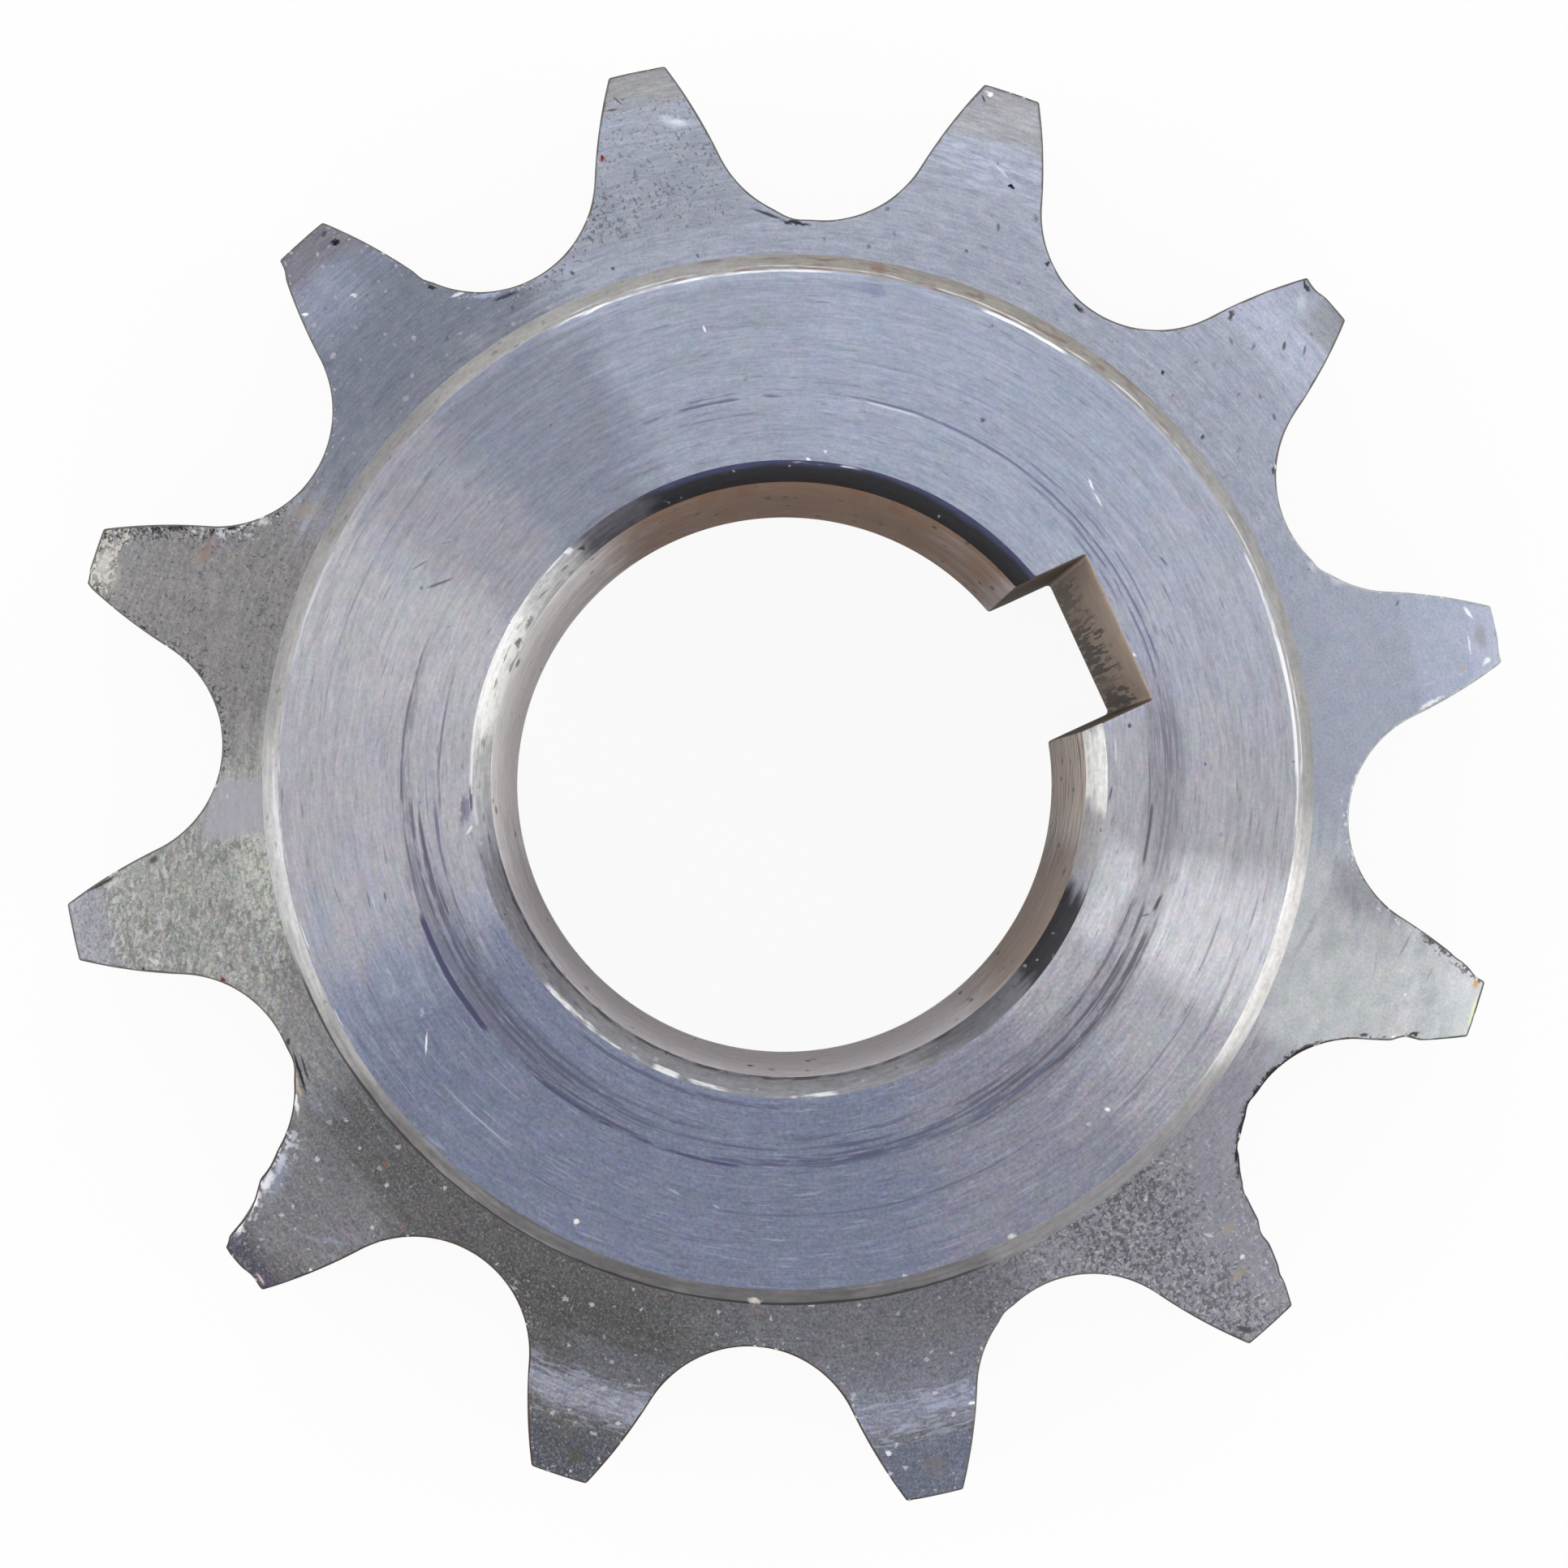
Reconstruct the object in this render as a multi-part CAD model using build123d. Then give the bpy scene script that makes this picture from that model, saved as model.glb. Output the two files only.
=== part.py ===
from build123d import *
import math
import os

# Roller-chain sprocket for a single strand, turned and cut from one piece of steel. It has a toothed
# plate, a hub on one side, and a plain bore with a keyway.
#
# The sprocket lies on the flat back of its plate. The origin is on the bore axis at that face, +Z runs
# up through the hub, and the keyway is centred on +Y. Lengths are in millimetres, angles in degrees.

# Chain that runs on the teeth
CHAIN_PITCH = 19.05
TOOTH_COUNT = 12

# Tooth gap: a round seat for one roller between two convex flanks
SEAT_RADIUS = 6.25
SEATING_ANGLE = 122.0
FLANK_RADIUS = 31.0
TIP_DIAMETER = 79.0

# Rounding that thins the tooth towards its tip, the same on both sides of the plate
SIDE_RELIEF_RADIUS = 19.0
SIDE_RELIEF_DEPTH = 0.75

# Plate and hub
PLATE_THICKNESS = 11.1
TOTAL_LENGTH = 30.0
HUB_DIAMETER = 53.1
HUB_CHAMFER = 0.8
HUB_FOOT_RADIUS = 0.8

# Bore and keyway
BORE_DIAMETER = 30.0
BORE_CHAMFER = 1.0
KEYWAY_WIDTH = 8.0
KEYWAY_DEPTH = 3.3
KEYWAY_CORNER_RADIUS = 0.2

# Turn from the middle of the keyway to the middle of the nearest tooth gap, counter-clockwise
# as seen from the hub
KEYWAY_TO_GAP_ANGLE = 2.1

# How far the cutters run past the metal
CUTTER_OVERRUN = 1.0

KEYWAY_DIRECTION = 90.0


def pitch_radius():
    """Radius of the circle on which the centres of the seated rollers lie."""
    return CHAIN_PITCH / (2 * math.sin(math.pi / TOOTH_COUNT))


def along(angle, length):
    """Point at a distance from the origin in a direction given in degrees."""
    return Vector(length, 0).rotate(Axis.Z, angle)


def triangle_angle(side_a, side_b, opposite):
    """Angle in degrees between two sides of a triangle, from the lengths of all three."""
    cosine = (side_a**2 + side_b**2 - opposite**2) / (2 * side_a * side_b)
    return math.degrees(math.acos(cosine))


def turned_section():
    """Half section of the turned blank, with X as the radius and Y as the height."""
    bore_radius = BORE_DIAMETER / 2
    hub_radius = HUB_DIAMETER / 2
    tip_radius = TIP_DIAMETER / 2
    relief_width = math.sqrt(SIDE_RELIEF_DEPTH * (2 * SIDE_RELIEF_RADIUS - SIDE_RELIEF_DEPTH))
    relief_turn = math.degrees(math.asin(relief_width / SIDE_RELIEF_RADIUS))
    relief_start = tip_radius - relief_width

    with BuildSketch(Plane.XZ) as section:
        with BuildLine():
            back = Polyline(
                (bore_radius, BORE_CHAMFER),
                (bore_radius + BORE_CHAMFER, 0),
                (relief_start, 0),
            )
            back_relief = JernArc(back @ 1, (1, 0), SIDE_RELIEF_RADIUS, relief_turn)
            hub = FilletPolyline(
                (relief_start, PLATE_THICKNESS),
                (hub_radius, PLATE_THICKNESS),
                (hub_radius, TOTAL_LENGTH - HUB_CHAMFER),
                radius=HUB_FOOT_RADIUS,
            )
            front_relief = JernArc(hub @ 0, (1, 0), SIDE_RELIEF_RADIUS, -relief_turn)
            Line(back_relief @ 1, front_relief @ 1)
            Polyline(
                hub @ 1,
                (hub_radius - HUB_CHAMFER, TOTAL_LENGTH),
                (bore_radius + BORE_CHAMFER, TOTAL_LENGTH),
                (bore_radius, TOTAL_LENGTH - BORE_CHAMFER),
                back @ 0,
            )
        make_face()
    return section.sketch


def tooth_gap():
    """Outline of one tooth gap, centred on +X and open outwards past the tooth tips."""
    roller_centre = Vector(pitch_radius(), 0)
    seat_end_direction = 180 - SEATING_ANGLE / 2
    flank_centre = roller_centre + along(seat_end_direction, SEAT_RADIUS + FLANK_RADIUS)
    flank_centre_direction = math.degrees(math.atan2(flank_centre.Y, flank_centre.X))

    # The flanks run on until they leave a circle just outside the tips
    mouth_radius = TIP_DIAMETER / 2 + CUTTER_OVERRUN
    mouth_half_angle = flank_centre_direction - triangle_angle(
        mouth_radius, flank_centre.length, FLANK_RADIUS
    )

    with BuildSketch() as gap:
        with BuildLine():
            seat = CenterArc(roller_centre, SEAT_RADIUS, 180, -SEATING_ANGLE / 2)
            mouth = CenterArc((0, 0), mouth_radius, 0, mouth_half_angle)
            RadiusArc(seat @ 1, mouth @ 1, -FLANK_RADIUS)
            mirror(about=Plane.XZ)
        make_face()
    return gap.sketch


def keyway():
    """Section of the keyway, from inside the bore out to its floor, along +Y."""
    floor = BORE_DIAMETER / 2 + KEYWAY_DEPTH
    with BuildSketch() as slot:
        with Locations((0, floor / 2)):
            Rectangle(KEYWAY_WIDTH, floor)
        floor_corners = slot.vertices().group_by(Axis.Y)[-1]
        fillet(floor_corners, KEYWAY_CORNER_RADIUS)
    return slot.sketch


def sprocket():
    """The whole sprocket: a turned blank with its tooth gaps and its keyway cut."""
    with BuildPart() as part:
        add(turned_section())
        revolve(axis=Axis.Z)
        with BuildSketch():
            with PolarLocations(0, TOOTH_COUNT, start_angle=KEYWAY_DIRECTION + KEYWAY_TO_GAP_ANGLE):
                add(tooth_gap())
        extrude(amount=PLATE_THICKNESS, mode=Mode.SUBTRACT)
        add(keyway())
        extrude(amount=TOTAL_LENGTH, mode=Mode.SUBTRACT)
    return part.part


os.makedirs("parts", exist_ok=True)
export_step(sprocket(), "parts/sprocket.step")
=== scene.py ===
"""Chain sprocket: a toothed steel plate and its hub, cut from one piece, with a keyway in the bore.

The sprocket lies on the flat back of its plate with the hub up. The origin is on the bore axis at that
back, +Z runs up through the hub and the keyway is centred on +Y. Sizes are written in millimetres and
turned into metres where they meet the mesh. Bearings are in degrees, counter-clockwise from +X.
"""

import logging
import math
from collections.abc import Callable, Sequence
from dataclasses import dataclass
from enum import IntEnum
from functools import cached_property, partial

import bmesh
import bpy
from bmesh.types import BMEdge, BMesh, BMFace, BMVert
from mathutils import Matrix, Vector, noise
from mathutils.kdtree import KDTree

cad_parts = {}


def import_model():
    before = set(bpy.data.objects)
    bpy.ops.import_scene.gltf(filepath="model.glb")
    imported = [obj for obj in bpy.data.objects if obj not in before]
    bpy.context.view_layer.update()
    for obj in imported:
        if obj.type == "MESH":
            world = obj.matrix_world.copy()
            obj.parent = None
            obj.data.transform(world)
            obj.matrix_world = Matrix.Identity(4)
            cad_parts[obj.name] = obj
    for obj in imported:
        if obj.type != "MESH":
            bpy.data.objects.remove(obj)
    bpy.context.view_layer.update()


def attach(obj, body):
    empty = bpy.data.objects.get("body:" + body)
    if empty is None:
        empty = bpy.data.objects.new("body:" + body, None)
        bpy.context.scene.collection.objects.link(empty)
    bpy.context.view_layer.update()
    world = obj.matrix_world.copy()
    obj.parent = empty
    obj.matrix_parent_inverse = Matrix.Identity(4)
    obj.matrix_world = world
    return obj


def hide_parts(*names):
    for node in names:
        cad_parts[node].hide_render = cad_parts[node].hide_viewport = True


MM = 0.001  # a millimetre in metres
FULL_TURN = 2 * math.pi
ORIGIN = (0, 0, 0)
UP = (0, 0, 1)
FIRST_GAP = 92.1  # bearing of the middle of the tooth gap by the keyway
HAIR = 1e-9  # angle that is nothing but rounding
SEAM = 0.001  # points nearer to each other than this are one
THIN = 0.14  # a mark with half of its width under this is drawn as a line
LOG = logging.getLogger("sprocket")

Place = Callable[[int], Vector]


def along(bearing: float, length: float = 1.0) -> Vector:
    """Flat vector of a given length in a direction given in degrees."""
    turn = math.radians(bearing)
    return Vector((length * math.cos(turn), length * math.sin(turn)))


def blend(start: float, end: float, share: float) -> float:
    """Value that lies a share of the way from start to end."""
    return start + (end - start) * share


def turn_between(bearing: float, other: float) -> float:
    """Angle between two bearings, up to half a turn."""
    return abs((bearing - other + 180) % 360 - 180)


def put_in_scene(name: str, data: bpy.types.ID) -> bpy.types.Object:
    """New object that holds some data and stands in the scene."""
    thing = bpy.data.objects.new(name, data)
    bpy.context.scene.collection.objects.link(thing)
    return thing


class Surface(IntEnum):
    """The machined surfaces of the sprocket, in the order of their material slots."""

    PLATE = 0
    BACK = 1
    FLANK = 2
    EDGE = 3
    HUB_SIDE = 4
    HUB_CHAMFER = 5
    HUB_FACE = 6
    BORE_CHAMFER = 7
    BORE = 8
    KEYWAY = 9

    @property
    def sectors(self) -> int:
        """Number of equal sectors that take a material each, where the marks differ round the bore."""
        return {Surface.PLATE: 12, Surface.HUB_FACE: 6}.get(self, 1)

    def slot_at(self, bearing: float = FIRST_GAP) -> int:
        """Material slot of the sector that a bearing lies in."""
        first = sum(other.sectors for other in Surface if other < self)
        return first + int((bearing - FIRST_GAP) % 360 * self.sectors / 360)


# ---- Shape ----


@dataclass(frozen=True)
class ToothForm:
    """Outline of the teeth: round roller seats between convex flanks, cut off at the tip circle."""

    chain_pitch: float = 19.05
    count: int = 12
    seat_radius: float = 6.25
    seating_angle: float = 122.0
    flank_radius: float = 31.0
    tip_radius: float = 39.5
    corner_break: float = 0.09
    seat_steps: int = 22
    flank_steps: int = 26
    tip_steps: int = 6
    corner_steps: int = 2

    def ring(self, mesh: BMesh) -> None:
        """Draw the whole outline in an empty mesh as one closed ring of edges, in millimetres.

        Half a gap is drawn by turning single vertices about the centres of its arcs. It is then
        mirrored and repeated for every tooth.
        """
        seat_centre = Vector((self.chain_pitch / (2 * math.sin(math.pi / self.count)), 0, 0))
        half_seat = self.seating_angle / 2
        flank_centre = seat_centre + along(180 - half_seat, self.seat_radius + self.flank_radius).to_3d()
        reach = flank_centre.length
        from_axis = (self.tip_radius**2 - reach**2 - self.flank_radius**2) / (2 * reach * self.flank_radius)
        around = math.atan2(flank_centre.y, flank_centre.x)
        flank_turn = around - math.acos(from_axis) + math.radians(half_seat)

        root = mesh.verts.new(seat_centre - Vector((self.seat_radius, 0, 0)))
        seat_end = self._arc(mesh, root, seat_centre, -math.radians(half_seat), self.seat_steps)
        corner = self._arc(mesh, seat_end, flank_centre, flank_turn, self.flank_steps)
        tip_turn = math.pi / self.count - math.atan2(corner.co.y, corner.co.x)
        self._arc(mesh, corner, ORIGIN, tip_turn, self.tip_steps)
        bmesh.ops.bevel(
            mesh, geom=[corner], offset=self.corner_break, segments=self.corner_steps, profile=0.5,
            affect="VERTICES", material=-1,
        )
        bmesh.ops.mirror(mesh, geom=mesh.verts[:] + mesh.edges[:], axis="Y", merge_dist=SEAM)
        bmesh.ops.spin(
            mesh, geom=mesh.verts[:] + mesh.edges[:], cent=ORIGIN, axis=UP, angle=FULL_TURN,
            steps=self.count, use_duplicate=True,
        )
        bmesh.ops.remove_doubles(mesh, verts=mesh.verts[:], dist=SEAM)
        turn = Matrix.Rotation(math.radians(FIRST_GAP), 3, "Z")
        bmesh.ops.rotate(mesh, verts=mesh.verts[:], cent=ORIGIN, matrix=turn)

    @staticmethod
    def _arc(mesh: BMesh, start: BMVert, centre: Sequence[float], turn: float, steps: int) -> BMVert:
        """Sweep a vertex about a centre by an angle in radians, and return the end of its arc of edges."""
        swept = bmesh.ops.spin(mesh, geom=[start], cent=centre, axis=UP, angle=turn, steps=steps)
        return next(item for item in swept["geom_last"] if isinstance(item, BMVert))


@dataclass(frozen=True)
class Nick:
    """A bruise in the tooth outline, knocked into the front edge of the plate.

    Args:
        x: Place of its middle across the sprocket.
        y: Place of its middle along the keyway's direction.
        reach: Distance over which it fades out along the edge.
        depth: How far the edge is pushed in at its middle.
    """

    x: float
    y: float
    reach: float
    depth: float

    def at(self, spot: Vector) -> float:
        """How far the edge is pushed in at a spot of the outline."""
        share = 1 - (spot - Vector((self.x, self.y))).length_squared / self.reach**2
        return self.depth * max(share, 0.0) ** 2


@dataclass(frozen=True)
class Keyway:
    """The keyway, centred on +Y, as a parallel slot with a flat floor.

    Args:
        half_width: Half of its width.
        floor: Distance of its floor from the axis.
        floor_corner: Size of the rounding along the floor's sides.
        mouth_break: Size of the broken edges where it meets the bore.
        mouth_slope: How far the middle of such an edge stands back, both ways, as a share of its size.
        relax: Angle past the mouth, in radians, where columns stand at their own bearings again.
    """

    half_width: float = 4.0
    floor: float = 18.3
    floor_corner: float = 0.2
    mouth_break: float = 0.1
    mouth_slope: float = 0.29
    relax: float = 0.5

    def stations(self, bore_radius: float, sink: float = 0.0) -> list[tuple[float, Vector]]:
        """Points that the inner ring has to pass through on one side of the keyway.

        Args:
            bore_radius: Radius of the round part of the ring at this height.
            sink: How far the slot's walls stand back from their true place, for a broken edge.

        Returns:
            Angle from +Y in radians and flat place of each point, from the floor to the mouth.
        """
        wall, floor = self.half_width + sink, self.floor + sink
        corner, edge = self.floor_corner, self.mouth_break
        inset, slope = corner * (1 - math.sqrt(0.5)), edge * self.mouth_slope
        mouth = math.sqrt(bore_radius**2 - wall**2)
        round_start = math.asin(wall / bore_radius) + edge / bore_radius
        spots = [(wall - corner, floor), (wall - inset, floor - inset), (wall, floor - corner)]
        spots += [(wall, mouth + edge), (wall + slope, mouth + slope)]
        spots += [(bore_radius * math.sin(round_start), bore_radius * math.cos(round_start))]
        return [(math.atan2(*Vector(spot)), Vector(spot)) for spot in spots]

    def spot(self, angle: float, bore_radius: float, sink: float) -> Vector:
        """Flat place on the inner ring at an angle from +Y in radians, positive towards +X."""
        turn = abs(angle)
        stations = self.stations(bore_radius, sink)
        floor_end, wall_start, wall_end, round_start = (stations[i][0] for i in (0, 2, 3, 5))
        if turn <= floor_end:
            place = Vector((stations[0][1].y * math.tan(turn), stations[0][1].y))
        elif turn <= wall_start + HAIR or wall_end < turn < round_start - HAIR:
            place = min(stations, key=lambda station: abs(station[0] - turn))[1].copy()
        elif turn <= wall_end:
            place = Vector((stations[3][1].x, stations[3][1].x / math.tan(turn)))
        else:
            place = Vector((math.sin(turn), math.cos(turn))) * bore_radius
        return Vector((math.copysign(place.x, angle), place.y))


@dataclass
class SprocketBody:
    """The one piece of metal, drawn as a ring of columns that is carried round the section.

    The tooth outline is the starting ring. It is extruded up the flank, over the broken edge, in
    across the plate, up the hub, in across the hub's face, down the bore and out across the back,
    until it closes on itself. The width of the broken edge wavers between a least and a widest one,
    and columns stand at least a small gap apart, in radians.
    """

    teeth: ToothForm = ToothForm()
    keyway: Keyway = Keyway()
    plate_thickness: float = 11.1
    total_length: float = 30.0
    hub_radius: float = 26.55
    hub_chamfer: float = 0.8
    hub_foot: float = 0.8
    bore_radius: float = 15.0
    bore_chamfer: float = 1.0
    relief_radius: float = 19.0
    relief_depth: float = 0.75
    edge_break: float = 0.1
    edge_waver: float = 0.05
    least_break: float = 0.04
    widest_break: float = 0.16
    small_break: float = 0.07
    column_gap: float = 5e-4
    nicks: tuple[Nick, ...] = ()

    def __post_init__(self) -> None:
        """Draw the tooth outline and note where each of its columns stands."""
        relief = self.relief_depth * (2 * self.relief_radius - self.relief_depth)
        self.relief_start = self.teeth.tip_radius - math.sqrt(relief)
        self.mesh = bmesh.new()
        self.teeth.ring(self.mesh)
        self.column = self.mesh.verts.layers.int.new("column")
        self.rim = self.mesh.verts.layers.float.new("rim")
        ordered = sorted(self.mesh.verts, key=lambda vert: math.atan2(vert.co.y, vert.co.x))
        for number, vert in enumerate(ordered):
            vert[self.column] = number
        self.ring = self.mesh.edges[:]
        self.outline = [vert.co.xy for vert in ordered]
        self.inward = self._ways_in(self.outline)
        pushed = [max((nick.at(spot) for nick in self.nicks), default=0.0) for spot in self.outline]
        self.bruised = [spot + way * push for spot, way, push in zip(self.outline, self.inward, pushed)]
        self.bruised_inward = self._ways_in(self.bruised)
        self.breaks = [self._edge_width(spot, 0.0) for spot in self.outline]
        self.back_breaks = [self._edge_width(spot, 50.0) for spot in self.outline]
        edge = self.rim_ring(1.0)
        self.turns = self._in_order([math.atan2(edge(n).y, edge(n).x) for n in range(len(self.outline))])
        self.inner_columns = self._anchor_keyway()

    @staticmethod
    def _ways_in(spots: Sequence[Vector]) -> list[Vector]:
        """Direction into the metal at every spot of a counter-clockwise outline."""
        steps = [(spot - spots[number - 1]).normalized() for number, spot in enumerate(spots)]
        runs = [(step + steps[(number + 1) % len(steps)]).normalized() for number, step in enumerate(steps)]
        return [Vector((-run.y, run.x)) for run in runs]

    def _in_order(self, turns: Sequence[float]) -> list[float]:
        """The same turns, moved as little as needed so that each is past the one before it."""
        up, down = list(turns), list(turns)
        for number in range(1, len(up)):
            up[number] = max(up[number], up[number - 1] + self.column_gap)
        for number in range(len(down) - 2, -1, -1):
            down[number] = min(down[number], down[number + 1] - self.column_gap)
        return [(high + low) / 2 for high, low in zip(up, down)]

    def _edge_width(self, spot: Vector, seed: float) -> float:
        """Width of the broken edge at a spot of the outline, uneven as a file leaves it."""
        waver = noise.noise(Vector((spot.x * 0.9, spot.y * 0.9, seed)))
        fine = noise.noise(Vector((spot.x * 2.3, spot.y * 2.3, seed + 7.0)))
        width = self.edge_break + self.edge_waver * (waver + 0.5 * fine)
        return min(max(width, self.least_break), self.widest_break)

    def _anchor_keyway(self) -> dict[int, int]:
        """Choose the column that each corner of the keyway stands on.

        Returns:
            For each chosen column, its station: 1 to 6 on the +X side and -1 to -6 on the other.
        """
        chosen: dict[int, int] = {}
        angles = [self._from_keyway(turn) for turn in self.turns]
        for side in (1, -1):
            taken = -1
            for rank, (angle, _) in enumerate(self.keyway.stations(self.bore_radius), start=1):
                ranked = sorted(range(len(angles)), key=lambda n: abs(angles[n] - side * angle))
                taken = next(n for n in ranked if taken < 0 or side * (angles[n] - angles[taken]) > 0)
                chosen[taken] = side * rank
        return chosen

    @staticmethod
    def _from_keyway(turn: float) -> float:
        """Angle from +Y, positive towards +X, of a direction in radians from +X."""
        return (math.pi / 2 - turn + math.pi) % FULL_TURN - math.pi

    def _inner_turns(self, radius: float, sink: float) -> list[float]:
        """Angle from +Y of every column on an inner ring, with the keyway's corners in their places."""
        stations = self.keyway.stations(radius, sink)
        anchors = [(-math.pi, -math.pi), (math.pi, math.pi)]
        for number, rank in self.inner_columns.items():
            here = self._from_keyway(self.turns[number])
            anchors.append((here, math.copysign(stations[abs(rank) - 1][0], rank)))
            if abs(rank) == len(stations):
                anchors.append((math.copysign(abs(here) + self.keyway.relax, rank),) * 2)
        anchors.sort()
        result = []
        for angle in map(self._from_keyway, self.turns):
            low, high = next(pair for pair in zip(anchors, anchors[1:]) if pair[1][0] >= angle - HAIR)
            result.append(blend(low[1], high[1], (angle - low[0]) / (high[0] - low[0])))
        return result

    # Rings of the section. Each gives the place of every column on it, in millimetres.

    def face_height(self, radius: float, back: bool) -> float:
        """Height of the plate's front or back face at a radius, which falls away towards the tips."""
        past = max(radius - self.relief_start, 0.0)
        fall = self.relief_radius - math.sqrt(self.relief_radius**2 - past**2)
        return fall if back else self.plate_thickness - fall

    def flank_ring(self, share: float) -> Place:
        """Ring on the tooth flanks, a share of the way from the back's broken edge to the front's."""

        def place(number: int) -> Vector:
            spot = self.outline[number].lerp(self.bruised[number], share**2)
            low = self.face_height(spot.length, True) + self.back_breaks[number]
            high = self.face_height(spot.length, False) - self.breaks[number]
            return Vector((*spot, blend(low, high, share)))

        return place

    def rim_ring(self, inset: float, back: bool = False) -> Place:
        """Ring over the broken edge, at a share of its width in from the outline."""
        spots, ways, widths = self.bruised, self.bruised_inward, self.breaks
        if back:
            spots, ways, widths = self.outline, self.inward, self.back_breaks

        def place(number: int) -> Vector:
            spot = spots[number] + ways[number] * widths[number] * inset
            drop = widths[number] * (1 - math.sqrt(1 - (1 - inset) ** 2))
            return Vector((*spot, self.face_height(spot.length, back) + (drop if back else -drop)))

        return place

    def circle(self, radius: float, height: float) -> Place:
        """Plain round ring."""
        return lambda n: Vector((radius * math.cos(self.turns[n]), radius * math.sin(self.turns[n]), height))

    def bore_ring(self, radius: float, height: float, sink: float = 0.0) -> Place:
        """Ring round the bore and the keyway."""
        spots = [self.keyway.spot(angle, radius, sink) for angle in self._inner_turns(radius, sink)]
        return lambda n: Vector((*spots[n], height))

    def mouth(self, height: float) -> Place:
        """Ring round the outside of the bore's chamfer, at one of its two ends."""
        small = self.small_break
        return self.bore_ring(self.bore_radius + self.bore_chamfer + small, height, small)

    def between(
        self, start: Place, end: Place, shares: Sequence[float], back: bool | None = None
    ) -> list[Place]:
        """Rings at shares of the way from one ring to another, on the plate's face if back says which."""

        def place(share: float, number: int) -> Vector:
            spot = start(number).lerp(end(number), share)
            if back is not None:
                spot.z = self.face_height(spot.xy.length, back)
            return spot

        return [partial(place, share) for share in shares]

    # Building

    def carry(self, surface: Surface, *rings: Place) -> None:
        """Extrude the open ring to one place after another, with new faces that belong to a surface."""
        for place in rings:
            made = bmesh.ops.extrude_edge_only(self.mesh, edges=self.ring)["geom"]
            for item in made:
                if isinstance(item, BMVert):
                    item.co = place(item[self.column])
                elif isinstance(item, BMFace):
                    item.material_index = self._slot_of(item, surface)
            self.ring = [item for item in made if isinstance(item, BMEdge) and item.is_boundary]

    def _slot_of(self, face: BMFace, surface: Surface) -> int:
        """Material slot of a new face. Inside the bore it depends on whether the face is in the keyway."""
        if surface not in (Surface.BORE, Surface.BORE_CHAMFER):
            middle = face.calc_center_median()
            return surface.slot_at(math.degrees(math.atan2(middle.y, middle.x)))
        mouths = [number for number, rank in self.inner_columns.items() if abs(rank) == 5]
        low, high = sorted(self._from_keyway(self.turns[number]) for number in mouths)
        angles = [self._from_keyway(self.turns[vert[self.column]]) for vert in face.verts]
        inside = all(low <= angle <= high for angle in angles)
        return (Surface.KEYWAY if inside else surface).slot_at()

    def front(self) -> None:
        """Carry the ring up the flanks, over the edge, in across the plate and up the hub's foot."""
        self.carry(Surface.FLANK, *(self.flank_ring(share) for share in (0.35, 0.7, 1.0)))
        edge = self.rim_ring(1.0)
        self.carry(Surface.EDGE, self.rim_ring(0.3), edge)
        foot = self.circle(self.hub_radius + self.hub_foot, self.plate_thickness)
        shares = (0.025, 0.07, 0.13, 0.2, 0.28, 0.36, 0.44, 0.52, 0.61, 0.7, 0.8, 0.9, 1.0)
        self.carry(Surface.PLATE, *self.between(edge, foot, shares, back=False))
        for turn in (22.5, 45.0, 67.5, 90.0):
            swing = along(turn, self.hub_foot)
            radius = self.hub_radius + self.hub_foot - swing.y
            self.carry(Surface.HUB_SIDE, self.circle(radius, self.plate_thickness + self.hub_foot - swing.x))

    def hub(self) -> None:
        """Carry the ring up the hub's side, over its chamfer and in across its face."""
        small, top = self.small_break, self.total_length
        foot, shoulder = self.plate_thickness + self.hub_foot, top - self.hub_chamfer
        heights = (blend(foot, shoulder - small, share) for share in (0.3, 0.65, 1.0))
        self.carry(Surface.HUB_SIDE, *(self.circle(self.hub_radius, height) for height in heights))
        inner = self.hub_radius - self.hub_chamfer
        face_edge = self.circle(inner - small, top)
        self.carry(
            Surface.HUB_CHAMFER,
            self.circle(self.hub_radius - small / 2, shoulder + small / 2),
            self.circle(inner + small / 2, top - small / 2),
            face_edge,
        )
        shares = (0.06, 0.3, 0.5, 0.7, 0.94, 1.0)
        self.carry(Surface.HUB_FACE, *self.between(face_edge, self.mouth(top), shares))

    def bore(self) -> None:
        """Carry the ring down the bore, with its keyway and a chamfer at each end."""
        small, chamfer, top = self.small_break, self.bore_chamfer, self.total_length
        wide, narrow = self.bore_radius + chamfer - small / 2, self.bore_radius + small / 2
        upper = self.bore_ring(wide, top - small / 2), self.bore_ring(narrow, top - chamfer + small / 2)
        self.carry(Surface.BORE_CHAMFER, *upper)
        heights = (blend(top - chamfer - small, chamfer + small, share) for share in (0.0, 0.33, 0.66, 1.0))
        self.carry(Surface.BORE, *(self.bore_ring(self.bore_radius, height) for height in heights))
        lower = self.bore_ring(narrow, chamfer - small / 2), self.bore_ring(wide, small / 2)
        self.carry(Surface.BORE_CHAMFER, *lower, self.mouth(0.0))

    def back(self) -> None:
        """Carry the ring out across the back and over its edge, and close it on where it started."""
        edge = self.rim_ring(1.0, back=True)
        shares = (0.08, 0.25, 0.42, 0.56, 0.67, 0.77, 0.86, 0.93, 0.98, 1.0)
        self.carry(Surface.BACK, *self.between(self.mouth(0.0), edge, shares, back=True))
        self.carry(Surface.EDGE, self.rim_ring(0.3, back=True), self.flank_ring(0.0))

    def _order_faces(self) -> None:
        """Put the faces in the order of two of their opposite corners, the same in every run."""
        self.mesh.verts.index_update()
        count = len(self.mesh.verts)
        self.mesh.faces.sort(key=lambda face: face.verts[0].index * count + face.verts[2].index)

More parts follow.
